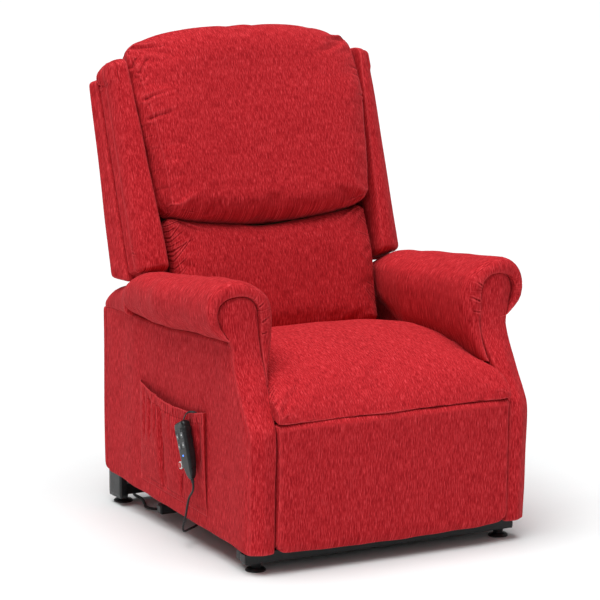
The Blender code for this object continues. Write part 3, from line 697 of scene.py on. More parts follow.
def clothe(obj, body, rule, *nodes):
    """Covers a piece in the chair's fabric."""
    lay_weave(obj, rule)
    lay_wear_and_fold_shade(obj)
    return dress(obj, CHENILLE, body, "fabric", *nodes)


def upholster(obj, body, rule, fill, *nodes):
    """Finishes a padded fabric piece."""
    clothe(obj, body, rule, *nodes)


# Camera, stage and light

def make_camera():
    """The camera, at the photo's viewing angle."""
    data = bpy.data.cameras.new("camera")
    data.lens = CAMERA_LENS
    data.sensor_width = SENSOR
    data.clip_end = 200
    camera = add_object("camera", data)
    camera.location = CAMERA_PLACE
    camera.rotation_euler = (math.pi / 2 - CAMERA_PITCH, 0, -CAMERA_YAW)
    bpy.context.scene.camera = camera


def make_stage():
    """A large pale floor."""
    n = Nodes("floor")
    speck = n.noise(n.object_place(), (3, 3, 3), 3.0)
    n.coloured(speck, (0.3, (0.745, 0.768, 0.770)), (0.7, (0.765, 0.788, 0.790)))
    n.fixed(Roughness=0.9, Specular_IOR_Level=0.1)
    bm = bmesh.new()
    bmesh.ops.create_grid(bm, x_segments=1, y_segments=1, size=60)
    mesh = bpy.data.meshes.new("floor")
    bm.to_mesh(mesh)
    bm.free()
    floor = add_object("floor", mesh)
    floor.data.materials.append(n.material)


def make_light():
    """Soft light from above, a weak fill from each side, and a sky that only the camera sees as white."""
    world = bpy.data.worlds.new("studio")
    bpy.context.scene.world = world
    world.use_nodes = True
    tree = world.node_tree
    background = tree.nodes["Background"]
    background.inputs["Color"].default_value = (1, 1, 1, 1)
    background.inputs["Strength"].default_value = SKY_STRENGTH
    seen = tree.nodes.new("ShaderNodeBackground")
    seen.inputs["Color"].default_value = (1, 1, 1, 1)
    path = tree.nodes.new("ShaderNodeLightPath")
    choose = tree.nodes.new("ShaderNodeMixShader")
    tree.links.new(path.outputs["Is Camera Ray"], choose.inputs["Fac"])
    tree.links.new(background.outputs["Background"], choose.inputs[1])
    tree.links.new(seen.outputs["Background"], choose.inputs[2])
    tree.links.new(choose.outputs["Shader"], tree.nodes["World Output"].inputs["Surface"])
    for name, (toward, strength, spread) in LIGHTS.items():
        data = bpy.data.lights.new(name, "SUN")
        data.energy = strength
        data.angle = math.radians(spread)
        light = add_object(name, data)
        light.rotation_mode = "QUATERNION"
        light.rotation_quaternion = Vector(toward).to_track_quat("Z", "Y")
    bpy.context.scene.view_settings.view_transform = "Standard"


# Cords

def even_path(route, spacing=0.003):
    """Evenly spaced points on a smooth curve through a route."""
    fine = smooth_curve(route, 40 * len(route))
    run = distance_along(fine)
    places = np.linspace(0, run[-1], max(2, round(run[-1] / spacing)) + 1)
    return np.stack([np.interp(places, run, fine[:, i]) for i in range(3)], 1)


def tube(name, path, radii, sides=12):
    """A round tube along a path, closed at its ends; radii is one value or one for each point."""
    path = np.asarray(path, float)
    radii = np.broadcast_to(np.asarray(radii, float), (len(path),))
    tangents = unit_rows(np.gradient(path, axis=0))
    normal = np.cross(tangents[0], (0.0, 0.0, 1.0))
    if np.linalg.norm(normal) < 0.1:
        normal = np.cross(tangents[0], (0.0, 1.0, 0.0))
    rings = []
    turns = 2 * np.pi * np.arange(sides) / sides
    for place, tangent, radius in zip(path, tangents, radii):
        normal = normal - tangent * (normal @ tangent)
        normal /= np.linalg.norm(normal)
        other = np.cross(tangent, normal)
        rings.append(place + radius * (np.outer(np.cos(turns), normal) + np.outer(np.sin(turns), other)))
    points = np.concatenate(rings + [path[:1], path[-1:]])
    faces = ring_quads(len(path), sides).tolist()
    last, cap = (len(path) - 1) * sides, len(path) * sides
    for j in range(sides):
        k = (j + 1) % sides
        faces += [(cap, k, j), (cap + 1, last + j, last + k)]
    obj = make_mesh(name, points, faces)
    obj.data.shade_smooth()
    obj.data.set_sharp_from_angle(angle=math.radians(50))
    return obj


def coil_turns():
    """Six turns in two columns and three rows; each later turn moves over before the one below it."""
    arrive = Vector(MAINS_ROUTE[-1]) - COIL_CENTRE
    start, far = math.atan2(arrive.y, arrive.x), arrive.to_2d().length
    moves = [(30, 80, "r", COIL_OUTER), (360, 400, "r", COIL_INNER), (690, 730, "z", COIL_ROWS[1]),
             (1020, 1060, "r", COIL_OUTER), (1325, 1365, "z", COIL_ROWS[2]),
             (1365, 1405, "r", COIL_INNER), (1670, 1710, "r", COIL_OUTER)]
    points = []
    for degrees in range(12, 2150, 12):
        value = {"r": far, "z": COIL_ROWS[0]}
        for begin, end, key, goal in moves:
            value[key] += (goal - value[key]) * float(smooth_step(degrees, begin, end))
        angle = start + math.radians(degrees)
        points.append((COIL_CENTRE.x + value["r"] * math.cos(angle),
                       COIL_CENTRE.y + value["r"] * math.sin(angle), value["z"]))
    return points


def mains_cord():
    """The mains lead: out of its sleeve, along the floor, round its coil and into the plug."""
    path = even_path(MAINS_ROUTE + coil_turns() + MAINS_TAIL)
    cord = dress(tube("mains_cord", path, MAINS_RADIUS), RUBBER, "base", "cable_rubber",
                 "mains_lead", "mains_coil")
    relief = strain_relief()
    tie = coil_tie()
    collar_path = [(-0.030, 0.4380, 0.013), (-0.030, 0.4420, 0.013), (-0.030, 0.4502, 0.013)]
    collar = dress(tube("plug_collar", collar_path, [0.0042, 0.0048, 0.0062]), PLASTIC, "base",
                   "black_plastic")


def strain_relief():
    """A ribbed, tapered sleeve."""
    low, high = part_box("mains_strain_relief")
    ribs, steps = 6, 49
    share = np.linspace(0, 1, steps)
    y, z = MAINS_ROUTE[0][1:]
    path = np.stack([high.x - share * (high.x - low.x), np.full(steps, y), np.full(steps, z)], 1)
    radius = 0.0075 - 0.0033 * share + 0.0006 * np.cos(2 * np.pi * ribs * share)
    return dress(tube("strain_relief", path, radius, 20), RUBBER, "base", "cable_rubber",
                 "mains_strain_relief")


def coil_tie():
    """A hook-and-loop strap round the coil's turns."""
    angle, count, half, thickness = math.radians(80), 32, 0.006, 0.0012
    out = Vector((math.cos(angle), math.sin(angle), 0))
    middle = COIL_CENTRE + out * (COIL_INNER + COIL_OUTER) / 2 + Vector((0, 0, COIL_ROWS[1]))
    loop = []
    for i in range(count):
        t = 2 * math.pi * i / count
        wide = 0.0084 / max(abs(math.cos(t)) ** 0.6, abs(math.sin(t)) ** 0.6, 0.6)
        loop.append(middle + out * (wide * math.cos(t)) + Vector((0, 0, wide * math.sin(t))))
    sideways = Vector((-out.y, out.x, 0))
    points, faces = [], []
    for place in loop:
        away = (place - middle).normalized()
        for across, lift in ((-half, 0.0), (half, 0.0), (half, thickness), (-half, thickness)):
            points.append(place + sideways * across + away * lift)
    for i in range(count):
        for j in range(4):
            k, m = (j + 1) % 4, (i + 1) % count
            faces.append((4 * i + j, 4 * i + k, 4 * m + k, 4 * m + j))
    points = np.array([tuple(p) for p in points])
    points[:, 2] = np.maximum(points[:, 2], 0.0002)
    return dress(make_piece("coil_tie", points, np.array(faces)), RUBBER, "base", "cable_rubber")


def handset_cord():
    """The handset's lead: a loop under the side panel, then in to the control box."""
    path = even_path(HANDSET_CORD_ROUTE)
    cord = dress(tube("handset_lead", path, HANDSET_CORD_RADIUS), RUBBER, None, "cable_rubber",
                 "handset_cord")
    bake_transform(cord)


make_camera()
mains_cord()
handset_cord()
make_stage()
make_light()

# Padded pieces

def lumps(points, seed, wavelength, amount):
    """A gentle unevenness, as padding has: a few crossing waves."""
    random = np.random.default_rng(seed)
    total = np.zeros(len(points))
    for _ in range(9):
        direction = random.normal(size=3)
        direction /= np.linalg.norm(direction) * wavelength * random.uniform(0.6, 1.6)
        total += np.sin(2 * np.pi * (points @ direction) + random.uniform(0, 2 * np.pi))
    return amount * total / 3


# The seat's upper line, from its rear to its front seam: y and z
SEAT_TOP = [(0.124, 0.404), (0.080, 0.426), (-0.020, 0.446), (-0.120, 0.453), (-0.200, 0.447),
            (-0.280, 0.428), (-0.350, 0.400), (-0.392, 0.373), (-0.412, 0.346)]
SEAT_BOTTOM = 0.3185
SEAT_FRONT_SEAM = 0.331
SEAT_HALF = 0.2845
SEAT_LIMIT = 0.2878
SEAT_CREASE_FOOT = 0.325


def seat_cushion():
    """A crowned wedge whose front rolls down over the footrest, gathered at its side seams."""
    depth = 0.11
    top = smooth_curve(SEAT_TOP, 200)
    run = distance_along(top)
    low, high = (-SEAT_HALF, 0, 0), (SEAT_HALF, run[-1], depth)
    unit, flat, quads = rounded_box((46, 64, 8), low, high, (0.030, 0.022, 0.040), 0.55,
                                    (0.030, 0.010, 0.040))
    y = np.interp(flat[:, 1], run, top[:, 0])
    fall = 0.022 * (np.abs(flat[:, 0]) / SEAT_HALF) ** 2.5 * (1 - smooth_step(-y, 0.26, 0.39))
    upper = np.interp(flat[:, 1], run, top[:, 1]) + 0.003 - fall
    lower = SEAT_BOTTOM + (SEAT_FRONT_SEAM - SEAT_BOTTOM) * smooth_step(-y, 0.345, 0.352)
    z = lower + (upper - lower) * flat[:, 2] / depth
    obj = make_piece("seat_pad", np.stack([flat[:, 0], y, z], 1), quads)
    sewn = (unit[:, 0] == 0) | (unit[:, 0] == 1) | (unit[:, 2] == 0) | (unit[:, 1] == 0)
    puff_later(obj, np.where(sewn, 1.0, 0.0), cap=0.014, grow=0.012)
    return obj


def finish_seat(obj):
    """Creases at the side seams, a front that fills the space between the arms, and the cloth."""
    subdivide(obj)
    points = coordinates(obj)
    x, y, z = points.T
    depth = side_creases(x, y, SEAT_HALF - np.abs(x), 11, -0.40, 0.10, 0.013, 0.7, 0.030, 0.0030, 0.0030)
    push(obj, -depth * (z > SEAT_CREASE_FOOT) + lumps(points, 5, 0.16, 0.0012))
    points = coordinates(obj)
    points[:, 0] *= 1 + 0.035 * smooth_step(-points[:, 1], 0.32, 0.40)
    points[:, 0] = np.clip(points[:, 0], -SEAT_LIMIT, SEAT_LIMIT)
    set_coordinates(obj, points)
    upholster(obj, "chassis", seat_weave, 0.85, "seat_cushion")


HEAD_LOW, HEAD_HIGH = 0.137, 0.571
HEAD_BACK, HEAD_FRONT = 0.036, 0.148
HEAD_HALF = 0.282
# Folds: each a path, its width and its depth; on the head cushion, across and up the back
HEAD_FOLDS = [
    ([(-0.290, 0.478), (-0.283, 0.492), (-0.272, 0.503), (-0.262, 0.508)], 0.0040, 0.0040),
    ([(-0.280, 0.462), (-0.270, 0.478), (-0.256, 0.490), (-0.246, 0.495)], 0.0036, 0.0036),
    ([(-0.278, 0.440), (-0.268, 0.449), (-0.258, 0.453)], 0.0036, 0.0026),
    ([(-0.279, 0.396), (-0.262, 0.401), (-0.240, 0.404), (-0.222, 0.405)], 0.0040, 0.0042),
    ([(-0.276, 0.350), (-0.262, 0.354), (-0.240, 0.357), (-0.212, 0.365)], 0.0040, 0.0040),
    ([(0.279, 0.444), (0.264, 0.446), (0.248, 0.452)], 0.0036, 0.0036),
    ([(0.282, 0.424), (0.264, 0.427), (0.250, 0.430)], 0.0036, 0.0030),
    ([(0.286, 0.376), (0.272, 0.375), (0.258, 0.378)], 0.0036, 0.0038),
    ([(0.286, 0.364), (0.276, 0.363), (0.266, 0.366)], 0.0036, 0.0034)]


def head_foot(x):
    """How far up the back the head cushion's lower edge is; it hangs lowest in the middle."""
    return HEAD_LOW - 0.038 * (1 - np.clip(np.abs(x) / 0.272, 0, 1) ** 2.0)


def head_cushion():
    """A deep bolster with an arched top that rolls over the back."""
    near, far = (0.034, 0.012, 0.020), (0.034, 0.046, 0.050)
    low, high = (-HEAD_HALF, HEAD_BACK, HEAD_LOW), (HEAD_HALF, HEAD_FRONT, HEAD_HIGH)
    unit, flat, quads = rounded_box((52, 16, 54), low, high, near, 0.5, far)
    x, d, h = flat.T
    share = (h - HEAD_LOW) / (HEAD_HIGH - HEAD_LOW)
    out = x / HEAD_HALF
    rear = np.minimum(0.2640 + 0.0300 * h / BACK_HIGH, 0.2945)
    front = 0.2610 + 0.0360 * share
    x = out * (rear + (front - rear) * smooth_step(d, 0.070, 0.115))
    h = h - 0.038 * np.abs(out) ** 2.6 * smooth_step(share, 0.45, 1.0)
    foot = head_foot(x)
    h = h - (HEAD_LOW - foot) * (1 - smooth_step(share, 0.0, 0.40))
    d = d - 0.022 * smooth_step(share, 0.80, 1.05) * smooth_step(d, 0.07, 0.14)
    recede = 0.026 * smooth_step(h, 0.36, 0.50) * np.abs(out) ** 2.5
    recede += 0.008 * (1 - smooth_step(h, 0.15, 0.25)) * np.abs(out) ** 3
    d = d - recede * smooth_step(d, 0.075, 0.120)
    obj = make_piece("head_pad", on_back(np.stack([x, d, h], 1)), quads)
    edge = ((unit[:, 0] == 0) | (unit[:, 0] == 1)) & (unit[:, 1] > 0.80) & (unit[:, 1] < 0.97)
    held = np.where(unit[:, 1] == 0, 1.0, np.where(edge, 0.85, 0.0))
    puff_later(obj, held, cap=0.012, grow=0.012)
    return obj


def finish_head(obj):
    """Folds from its upper corners, small creases at its side seams, and the cloth."""
    subdivide(obj, 2)
    points = np.stack(back_axes(coordinates(obj)), 1)
    x, d, h = points.T
    half = 0.2610 + 0.0360 * (h - HEAD_LOW) / (HEAD_HIGH - HEAD_LOW)
    inward = half - np.abs(x) + 0.5 * np.maximum(0, 0.118 - d)
    front = smooth_step(d, 0.060, 0.085)
    depth = 0.6 * fold_depth(points[:, (0, 2)], HEAD_FOLDS)
    depth += side_creases(x, h, inward, 21, 0.15, 0.34, 0.034, -0.5, 0.012, 0.0026, 0.0009)
    push(obj, -front * depth + lumps(points, 6, 0.22, 0.0016))
    upholster(obj, "back", upright_weave, 0.75, "head_cushion")


LUMBAR_LOW, LUMBAR_HIGH = -0.158, 0.130
LUMBAR_HALF = 0.262


def lumbar_cushion():
    """The lower back pad; its top follows the head cushion's lower edge and tucks in under it."""
    near, far = (0.024, 0.008, 0.014), (0.024, 0.034, 0.026)
    low, high = (-LUMBAR_HALF, HEAD_BACK, LUMBAR_LOW), (LUMBAR_HALF, 0.106, LUMBAR_HIGH)
    unit, flat, quads = rounded_box((46, 10, 46), low, high, near, 0.5, far)
    x, d, h = flat.T
    share = (h - LUMBAR_LOW) / (LUMBAR_HIGH - LUMBAR_LOW)
    x = x * (0.930 + 0.074 * share)
    h = h + (head_foot(x) - 0.003 - LUMBAR_HIGH) * smooth_step(share, 0.5, 1.0)
    d = d + 0.010 * smooth_step(share, 0.15, 0.7) * smooth_step(d, 0.06, 0.10)
    recede = 0.020 * smooth_step(share, 0.35, 1.0) * (np.abs(x) / LUMBAR_HALF) ** 4
    d = d - recede * smooth_step(d, 0.055, 0.09)
    obj = make_piece("lumbar_pad", on_back(np.stack([x, d, h], 1)), quads)
    edge = ((unit[:, 0] == 0) | (unit[:, 0] == 1)) & (unit[:, 1] > 0.75)
    held = np.where((unit[:, 1] == 0) | (unit[:, 2] == 0), 1.0, np.where(edge, 0.9, 0.0))
    puff_later(obj, held, cap=0.010, grow=0.010)
    return obj


def finish_lumbar(obj):
    """Close slanted gathers at its side seams, and the cloth."""
    subdivide(obj, 2)
    points = coordinates(obj)
    x, d, h = back_axes(points)
    half = 0.2437 + 0.0194 * (h - LUMBAR_LOW) / (LUMBAR_HIGH - LUMBAR_LOW)
    inward = half - np.abs(x) + 0.5 * np.maximum(0, 0.085 - d)
    front = smooth_step(d, 0.050, 0.075)
    depth = side_creases(x, h, inward, 31, -0.14, 0.12, 0.0115, 0.80, 0.040, 0.0017, 0.0016)
    push(obj, -front * depth + lumps(points, 7, 0.18, 0.0012))
    upholster(obj, "back", upright_weave, 0.7, "lumbar_cushion")


WING_TOP = 0.508
WING_WIDTH = 0.095
BACK_PLANE = 0.0163
WING_SEAM = 0.052
WING_FOLDS = [
    ([(0.343, 0.012, 0.450), (0.346, 0.010, 0.470), (0.341, 0.014, 0.487)], 0.0022, 0.0032),
    ([(0.342, 0.031, 0.448), (0.344, 0.029, 0.468), (0.338, 0.036, 0.484), (0.330, 0.048, 0.492)],
     0.0022, 0.0042),
    ([(0.341, 0.053, 0.434), (0.338, 0.064, 0.448), (0.330, 0.078, 0.458), (0.319, 0.088, 0.463)],
     0.0022, 0.0040),
    ([(0.341, 0.053, 0.060), (0.337, 0.066, 0.052), (0.328, 0.080, 0.046)], 0.0022, 0.0022),
    ([(0.341, 0.053, 0.076), (0.338, 0.062, 0.069), (0.334, 0.070, 0.065)], 0.0022, 0.0018)]


def wing(name, side):
    """A padded side of the back: a rolled front and top over a flat side panel."""
    near, far = (0.018, 0.010, 0.018), (0.076, 0.054, 0.024)
    low, high = (0.0, BACK_PLANE, 0.0), (WING_WIDTH, 0.107, WING_TOP)
    _, flat, quads = rounded_box((14, 18, 60), low, high, near, 0.35, far)
    across, d, h = flat.T
    share = h / BACK_HIGH
    inner, outer = 0.2665 + 0.029 * share, 0.3415 + 0.20 * np.maximum(0, 0.050 - d)
    x = inner + (outer - inner) * across / WING_WIDTH
    h = h - 0.007 * smooth_step(0.050 - d, 0, 0.034) * smooth_step(h, 0.44, WING_TOP)
    h = h - 0.005 * smooth_step(across, 0.050, WING_WIDTH) * smooth_step(h, 0.44, WING_TOP)
    obj = subdivide(make_piece("wing_pad_" + name, on_back(np.stack([side * x, d, h], 1)), quads), 2)
    points = np.stack(back_axes(coordinates(obj)), 1) * (side, 1, 1)
    x, d, h = points.T
    outside = smooth_step(x, 0.326, 0.333)
    lip = 0.4500 + 0.25 * (WING_SEAM - d)
    under_lip = 1 - smooth_step(h, lip - 0.004, lip + 0.004)
    panel = outside * (1 - smooth_step(d, WING_SEAM - 0.002, WING_SEAM + 0.001)) * under_lip
    border = outside * (ridge(d, WING_SEAM, 0.0018) * (h < lip - 0.004)
                        + 0.4 * ridge(h, lip - 0.001, 0.0026) * (d < 0.034))
    bulge = outside * (0.0020 * smooth_step(d, WING_SEAM, WING_SEAM + 0.008)
                       + 0.0030 * smooth_step(h, lip, lip + 0.014))
    push(obj, bulge - 0.0024 * panel - 0.0095 * border - fold_depth(points, WING_FOLDS)
         + lumps(points * (side, 1, 1), 40 + side, 0.15, 0.0010))
    upholster(obj, "back", upright_weave, 0.8, "wing_" + name)


OUTER_BACK_FOOT, OUTER_BACK_TOP = -0.0500, -0.0060
OUTER_BACK_HALF, OUTER_BACK_HIGH = 0.3588, 0.474
OUTER_BACK_SEAM = 0.305


def outer_back_rear(share):
    """How far forward the outer back's rear face is, at a share of its height."""
    return OUTER_BACK_FOOT + (OUTER_BACK_TOP - OUTER_BACK_FOOT) * share


def back_panel():
    """The outer back: a taut panel with a sewn border and a closing seam down each side."""
    low, high = (-OUTER_BACK_HALF, 0.0, 0.0), (OUTER_BACK_HALF, 1.0, 1.0)
    _, flat, quads = rounded_box((56, 8, 44), low, high, (0.010, 0.20, 0.022), 0.3, (0.010, 0.06, 0.022))
    x, thick, share = flat.T
    x = x * (1 - 0.030 * thick)
    rear_d = outer_back_rear(share)
    d = rear_d + (BACK_PLANE - rear_d) * thick
    foot = 0.0021 - 0.36 * d
    h = foot + (OUTER_BACK_HIGH - foot) * share
    obj = subdivide(make_piece("outer_back", on_back(np.stack([x, d, h], 1)), quads))
    points = coordinates(obj)
    x, d, h = back_axes(points)
    from_rear = d - outer_back_rear(h / OUTER_BACK_HIGH)
    rear = smooth_step(-from_rear, -0.006, -0.001)
    depth = 0.0032 * rear * (ridge(np.abs(x), OUTER_BACK_SEAM, 0.0030)
                             + ridge(h, 0.440, 0.0030) * (np.abs(x) < OUTER_BACK_SEAM))
    bulge = 0.0055 * rear * np.clip(1 - (x / 0.30) ** 2, 0, 1) * np.clip(np.sin(np.pi * h / 0.48), 0, 1)
    push(obj, bulge - depth + rear * lumps(points, 8, 0.22, 0.0010))
    upholster(obj, "back", upright_weave, 0.4, "back_panel")


# Each cover's name, grid, half width, near and far corner in the back's axes, and corner radii
BACK_COVERS = [
    ("back_top_rail", (40, 8, 6), 0.2880, (-0.0020, 0.4708), (0.0460, 0.4905), (0.012, 0.012, 0.009)),
    ("back_lining", (44, 3, 26), 0.2392, (0.0124, -0.1758), (0.0161, 0.0150), (0.006, 0.0015, 0.006))]


def back_covers():
    """Cloth over the frame's top rail, and over its rear face below the outer back."""
    for name, counts, half, low, high, radii in BACK_COVERS:
        _, flat, quads = rounded_box(counts, (-half, *low), (half, *high), radii, 0.3)
        obj = subdivide(make_piece(name, on_back(flat), quads))
        push(obj, lumps(coordinates(obj), 61, 0.12, 0.0004))
        upholster(obj, "back", upright_weave, 0.3)


# Arms

ARM_INNER = 0.2893
ARM_REAR = 0.3735
SHOULDER_FRONT = 0.2045
# Each height and how far forward the front edge is there
ARM_FRONT = [(0.045, -0.380), (0.200, -0.386), (0.300, -0.389), (0.337, -0.374), (0.380, -0.346),
             (0.440, -0.313), (0.480, -0.302), (0.520, -0.299), (0.600, -0.298)]


def arm_front_at(z):
    """How far forward an arm's front edge is at a height."""
    edge = smooth_curve(ARM_FRONT, 160)
    return np.interp(z, edge[:, 0], edge[:, 1])


# The seam under the roll, from front to rear: y and z
ARM_SEAM = [(-0.302, 0.489), (-0.201, 0.486), (-0.067, 0.477), (0.014, 0.472), (0.135, 0.471),
            (0.248, 0.476), (0.303, 0.473), (0.359, 0.468), (0.374, 0.464)]


def arm_side(name, side):
    """The upholstered side of an arm, leaning back above the knee and rounded at its rear."""
    front, thickness = -0.378, 0.0515
    _, flat, quads = rounded_box((6, 70, 44), (0, 0, 0), (thickness, 1.0, 1.0),
                                 (0.006, 0.008, 0.010), 0.3)
    x, v, w = flat.T
    y = front + (ARM_REAR - front) * v
    low = np.interp(y, [-0.382, -0.070, 0.345, 0.366, 0.374], [0.045, 0.056, 0.074, 0.082, 0.098])
    high = look_up(y, ARM_SEAM)
    z = low + (high - low) * w
    y = y + (arm_front_at(z) - arm_front_at(0.1)) * (1 - v)
    swell = 0.0035 * np.clip(np.sin(np.pi * v), 0, 1) ** 0.4 * np.clip(np.sin(np.pi * w), 0, 1) ** 0.4
    flare = 0.0050 * smooth_step(-y, 0.20, 0.34) * (1 - smooth_step(z, 0.41, 0.47))
    x = ARM_INNER + x + (swell + flare) * (x > 0.5 * thickness)
    obj = subdivide(make_piece("arm_side_" + name, np.stack([side * x, y, z], 1), quads))
    points = coordinates(obj)
    outer = smooth_step(np.abs(points[:, 0]), 0.330, 0.338)
    wave = lumps(points * (1, 1, 0.35), 50 + side, 0.11, 0.0013)
    top = look_up(points[:, 1], ARM_SEAM)
    seam = 0.0022 * outer * ridge(points[:, 1], 0.352, 0.0028)
    fade = 1 - smooth_step(points[:, 1], 0.30, 0.345)
    welt = 0.0007 * outer * fade * ridge(points[:, 2], top - 0.006, 0.0035)
    push(obj, outer * wave - seam + welt)
    upholster(obj, "chassis", upright_weave, 0.5, "arm_panel_" + name)


SHOULDER_TOP = [(0.2045, 0.545), (0.230, 0.537), (0.260, 0.530), (0.280, 0.526), (0.300, 0.520),
                (0.320, 0.513), (0.340, 0.502), (0.355, 0.489), (0.366, 0.476), (0.3735, 0.466)]


def arm_shoulder(name, side):
    """The rounded piece behind the roll, which falls away towards the rear corner."""
    _, flat, quads = rounded_box((12, 26, 10), (0, 0, 0), (1, 1, 1), (0.10, 0.03, 0.20), 0.3,
                                 (0.42, 0.16, 0.55))
    a, v, w = flat.T
    y = SHOULDER_FRONT + (ARM_REAR - SHOULDER_FRONT) * v
    low = look_up(y, ARM_SEAM) - 0.008
    z = low + (look_up(y, SHOULDER_TOP) - low) * w
    outer = np.interp(y, [SHOULDER_FRONT, 0.24, 0.30, 0.374], [0.3640, 0.3565, 0.3480, 0.3430])
    outer = outer - 0.004 * (1 - w) ** 2
    x = ARM_INNER + (outer - ARM_INNER) * a
    obj = subdivide(make_piece("arm_shoulder_" + name, np.stack([side * x, y, z], 1), quads))
    push(obj, lumps(coordinates(obj), 66 + side, 0.08, 0.0008))
    upholster(obj, "chassis", roll_weave, 0.6)


def arm_front(name, side):
    """The inset front panel, from the floor end up to the scroll under the roll."""
    _, flat, quads = rounded_box((14, 3, 90), (-1, 0, 0), (1, 1, 1), (0.10, 0.35, 0.012), 0.3)
    across, thick, w = flat.T
    foot, waist, bend, head = 0.0455, 0.470, 0.545, 0.5915
    z = foot + (head - foot) * w
    inner = np.interp(z, [foot, 0.310, 0.350, 0.390, 0.420, 0.450, 0.480, bend],
                      [0.2890, 0.2888, 0.2862, 0.2815, 0.2775, 0.2750, 0.2750, 0.2775])
    outer = np.interp(z, [foot, 0.200, 0.400, 0.440, 0.478, 0.500, 0.520, bend],
                      [0.3440, 0.3460, 0.3470, 0.3455, 0.3425, 0.3480, 0.3590, 0.3690])
    arch = np.clip((z - bend) / (head - bend), 0, 1)
    keep = np.sqrt(np.clip(1 - arch ** 2.2, 0, 1))
    x = (inner + outer) / 2 + (outer - inner) / 2 * keep * across
    crown = 0.0045 * (1 - across ** 2) * keep + 0.0015 * (1 - across ** 2)
    inward = smooth_step(-across, -0.95, 0.10) * (1 - smooth_step(z, 0.40, 0.48))
    y = arm_front_at(z) + 0.012 * (1 - thick) - (crown + 0.013 * inward) * thick
    y = y + 0.003 * smooth_step(z, waist, 0.530)
    y = y + ROLL_SLANT * smooth_step(z, 0.49, 0.53) * smooth_step(x, *SLANT_REACH)
    obj = subdivide(make_piece("arm_front_" + name, np.stack([side * x, y, z], 1), quads))
    push(obj, lumps(coordinates(obj), 60 + side, 0.09, 0.0006))
    upholster(obj, "chassis", upright_weave, 0.4)


# The roll's outline seen from the front, and the scroll's inside it
ROLL = [(0.2740, 0.400), (0.2570, 0.434), (0.2435, 0.468), (0.2375, 0.507), (0.2375, 0.547),
        (0.2485, 0.584), (0.2810, 0.612), (0.3200, 0.627), (0.3570, 0.620), (0.3820, 0.598),
        (0.3915, 0.566), (0.3880, 0.534), (0.3720, 0.511), (0.3450, 0.4940), (0.3120, 0.4890),
        (0.2900, 0.470)]
SCROLL = [(0.2790, 0.402), (0.2745, 0.436), (0.2738, 0.474), (0.2750, 0.509), (0.2760, 0.545),
          (0.2800, 0.567), (0.2940, 0.5845), (0.3190, 0.5925), (0.3480, 0.5880), (0.3670, 0.573),
          (0.3725, 0.553), (0.3670, 0.530), (0.3570, 0.513), (0.3440, 0.4965), (0.3140, 0.4900),
          (0.2893, 0.470)]
ROLL_FOOT = 0.489
ROLL_SLANT, SLANT_REACH = 0.013, (0.325, 0.372)
ROLL_MIDDLE = 0.319
ROLL_RIM_Y = -0.302
ROLL_CENTRE = (0.3185, 0.549)
# The roll's height, as a share of its height in front
ROLL_HEIGHTS = [(ROLL_RIM_Y, 1.0), (-0.26, 0.97), (-0.15, 0.90), (-0.03, 0.79), (0.05, 0.74), (0.10, 0.715),
                (0.145, 0.64), (0.18, 0.54), (0.205, 0.45)]
ROLL_FOLDS = [
    ([(0.406, -0.284, 0.584), (0.396, -0.294, 0.580), (0.386, -0.295, 0.576)], 0.0018, 0.0030),
    ([(0.400, -0.284, 0.530), (0.390, -0.294, 0.534), (0.380, -0.295, 0.538)], 0.0018, 0.0026),
    ([(0.402, -0.296, 0.568), (0.392, -0.304, 0.566), (0.384, -0.303, 0.565)], 0.0016, 0.0027),
    ([(0.402, -0.296, 0.561), (0.391, -0.304, 0.560), (0.381, -0.303, 0.560)], 0.0016, 0.0031),
    ([(0.400, -0.296, 0.553), (0.390, -0.304, 0.554), (0.380, -0.303, 0.554)], 0.0016, 0.0029),
    ([(0.395, -0.290, 0.604), (0.386, -0.301, 0.597), (0.376, -0.303, 0.588)], 0.0017, 0.0029),
    ([(0.393, -0.294, 0.512), (0.385, -0.303, 0.520), (0.378, -0.303, 0.526)], 0.0016, 0.0024),
    ([(0.344, -0.280, 0.626), (0.341, -0.300, 0.616), (0.337, -0.304, 0.602)], 0.0016, 0.0017),
    ([(0.283, -0.303, 0.564), (0.272, -0.303, 0.571), (0.260, -0.296, 0.580)], 0.0017, 0.0029),
    ([(0.270, -0.303, 0.534), (0.259, -0.303, 0.539), (0.247, -0.294, 0.545)], 0.0019, 0.0032),
    ([(0.272, -0.303, 0.508), (0.262, -0.303, 0.510), (0.250, -0.294, 0.513)], 0.0016, 0.0022),
    ([(0.393, -0.262, 0.590), (0.396, -0.266, 0.565), (0.393, -0.268, 0.535)], 0.0022, 0.0017),
    ([(0.386, -0.276, 0.600), (0.396, -0.281, 0.572), (0.391, -0.282, 0.528)], 0.0022, 0.0020)]


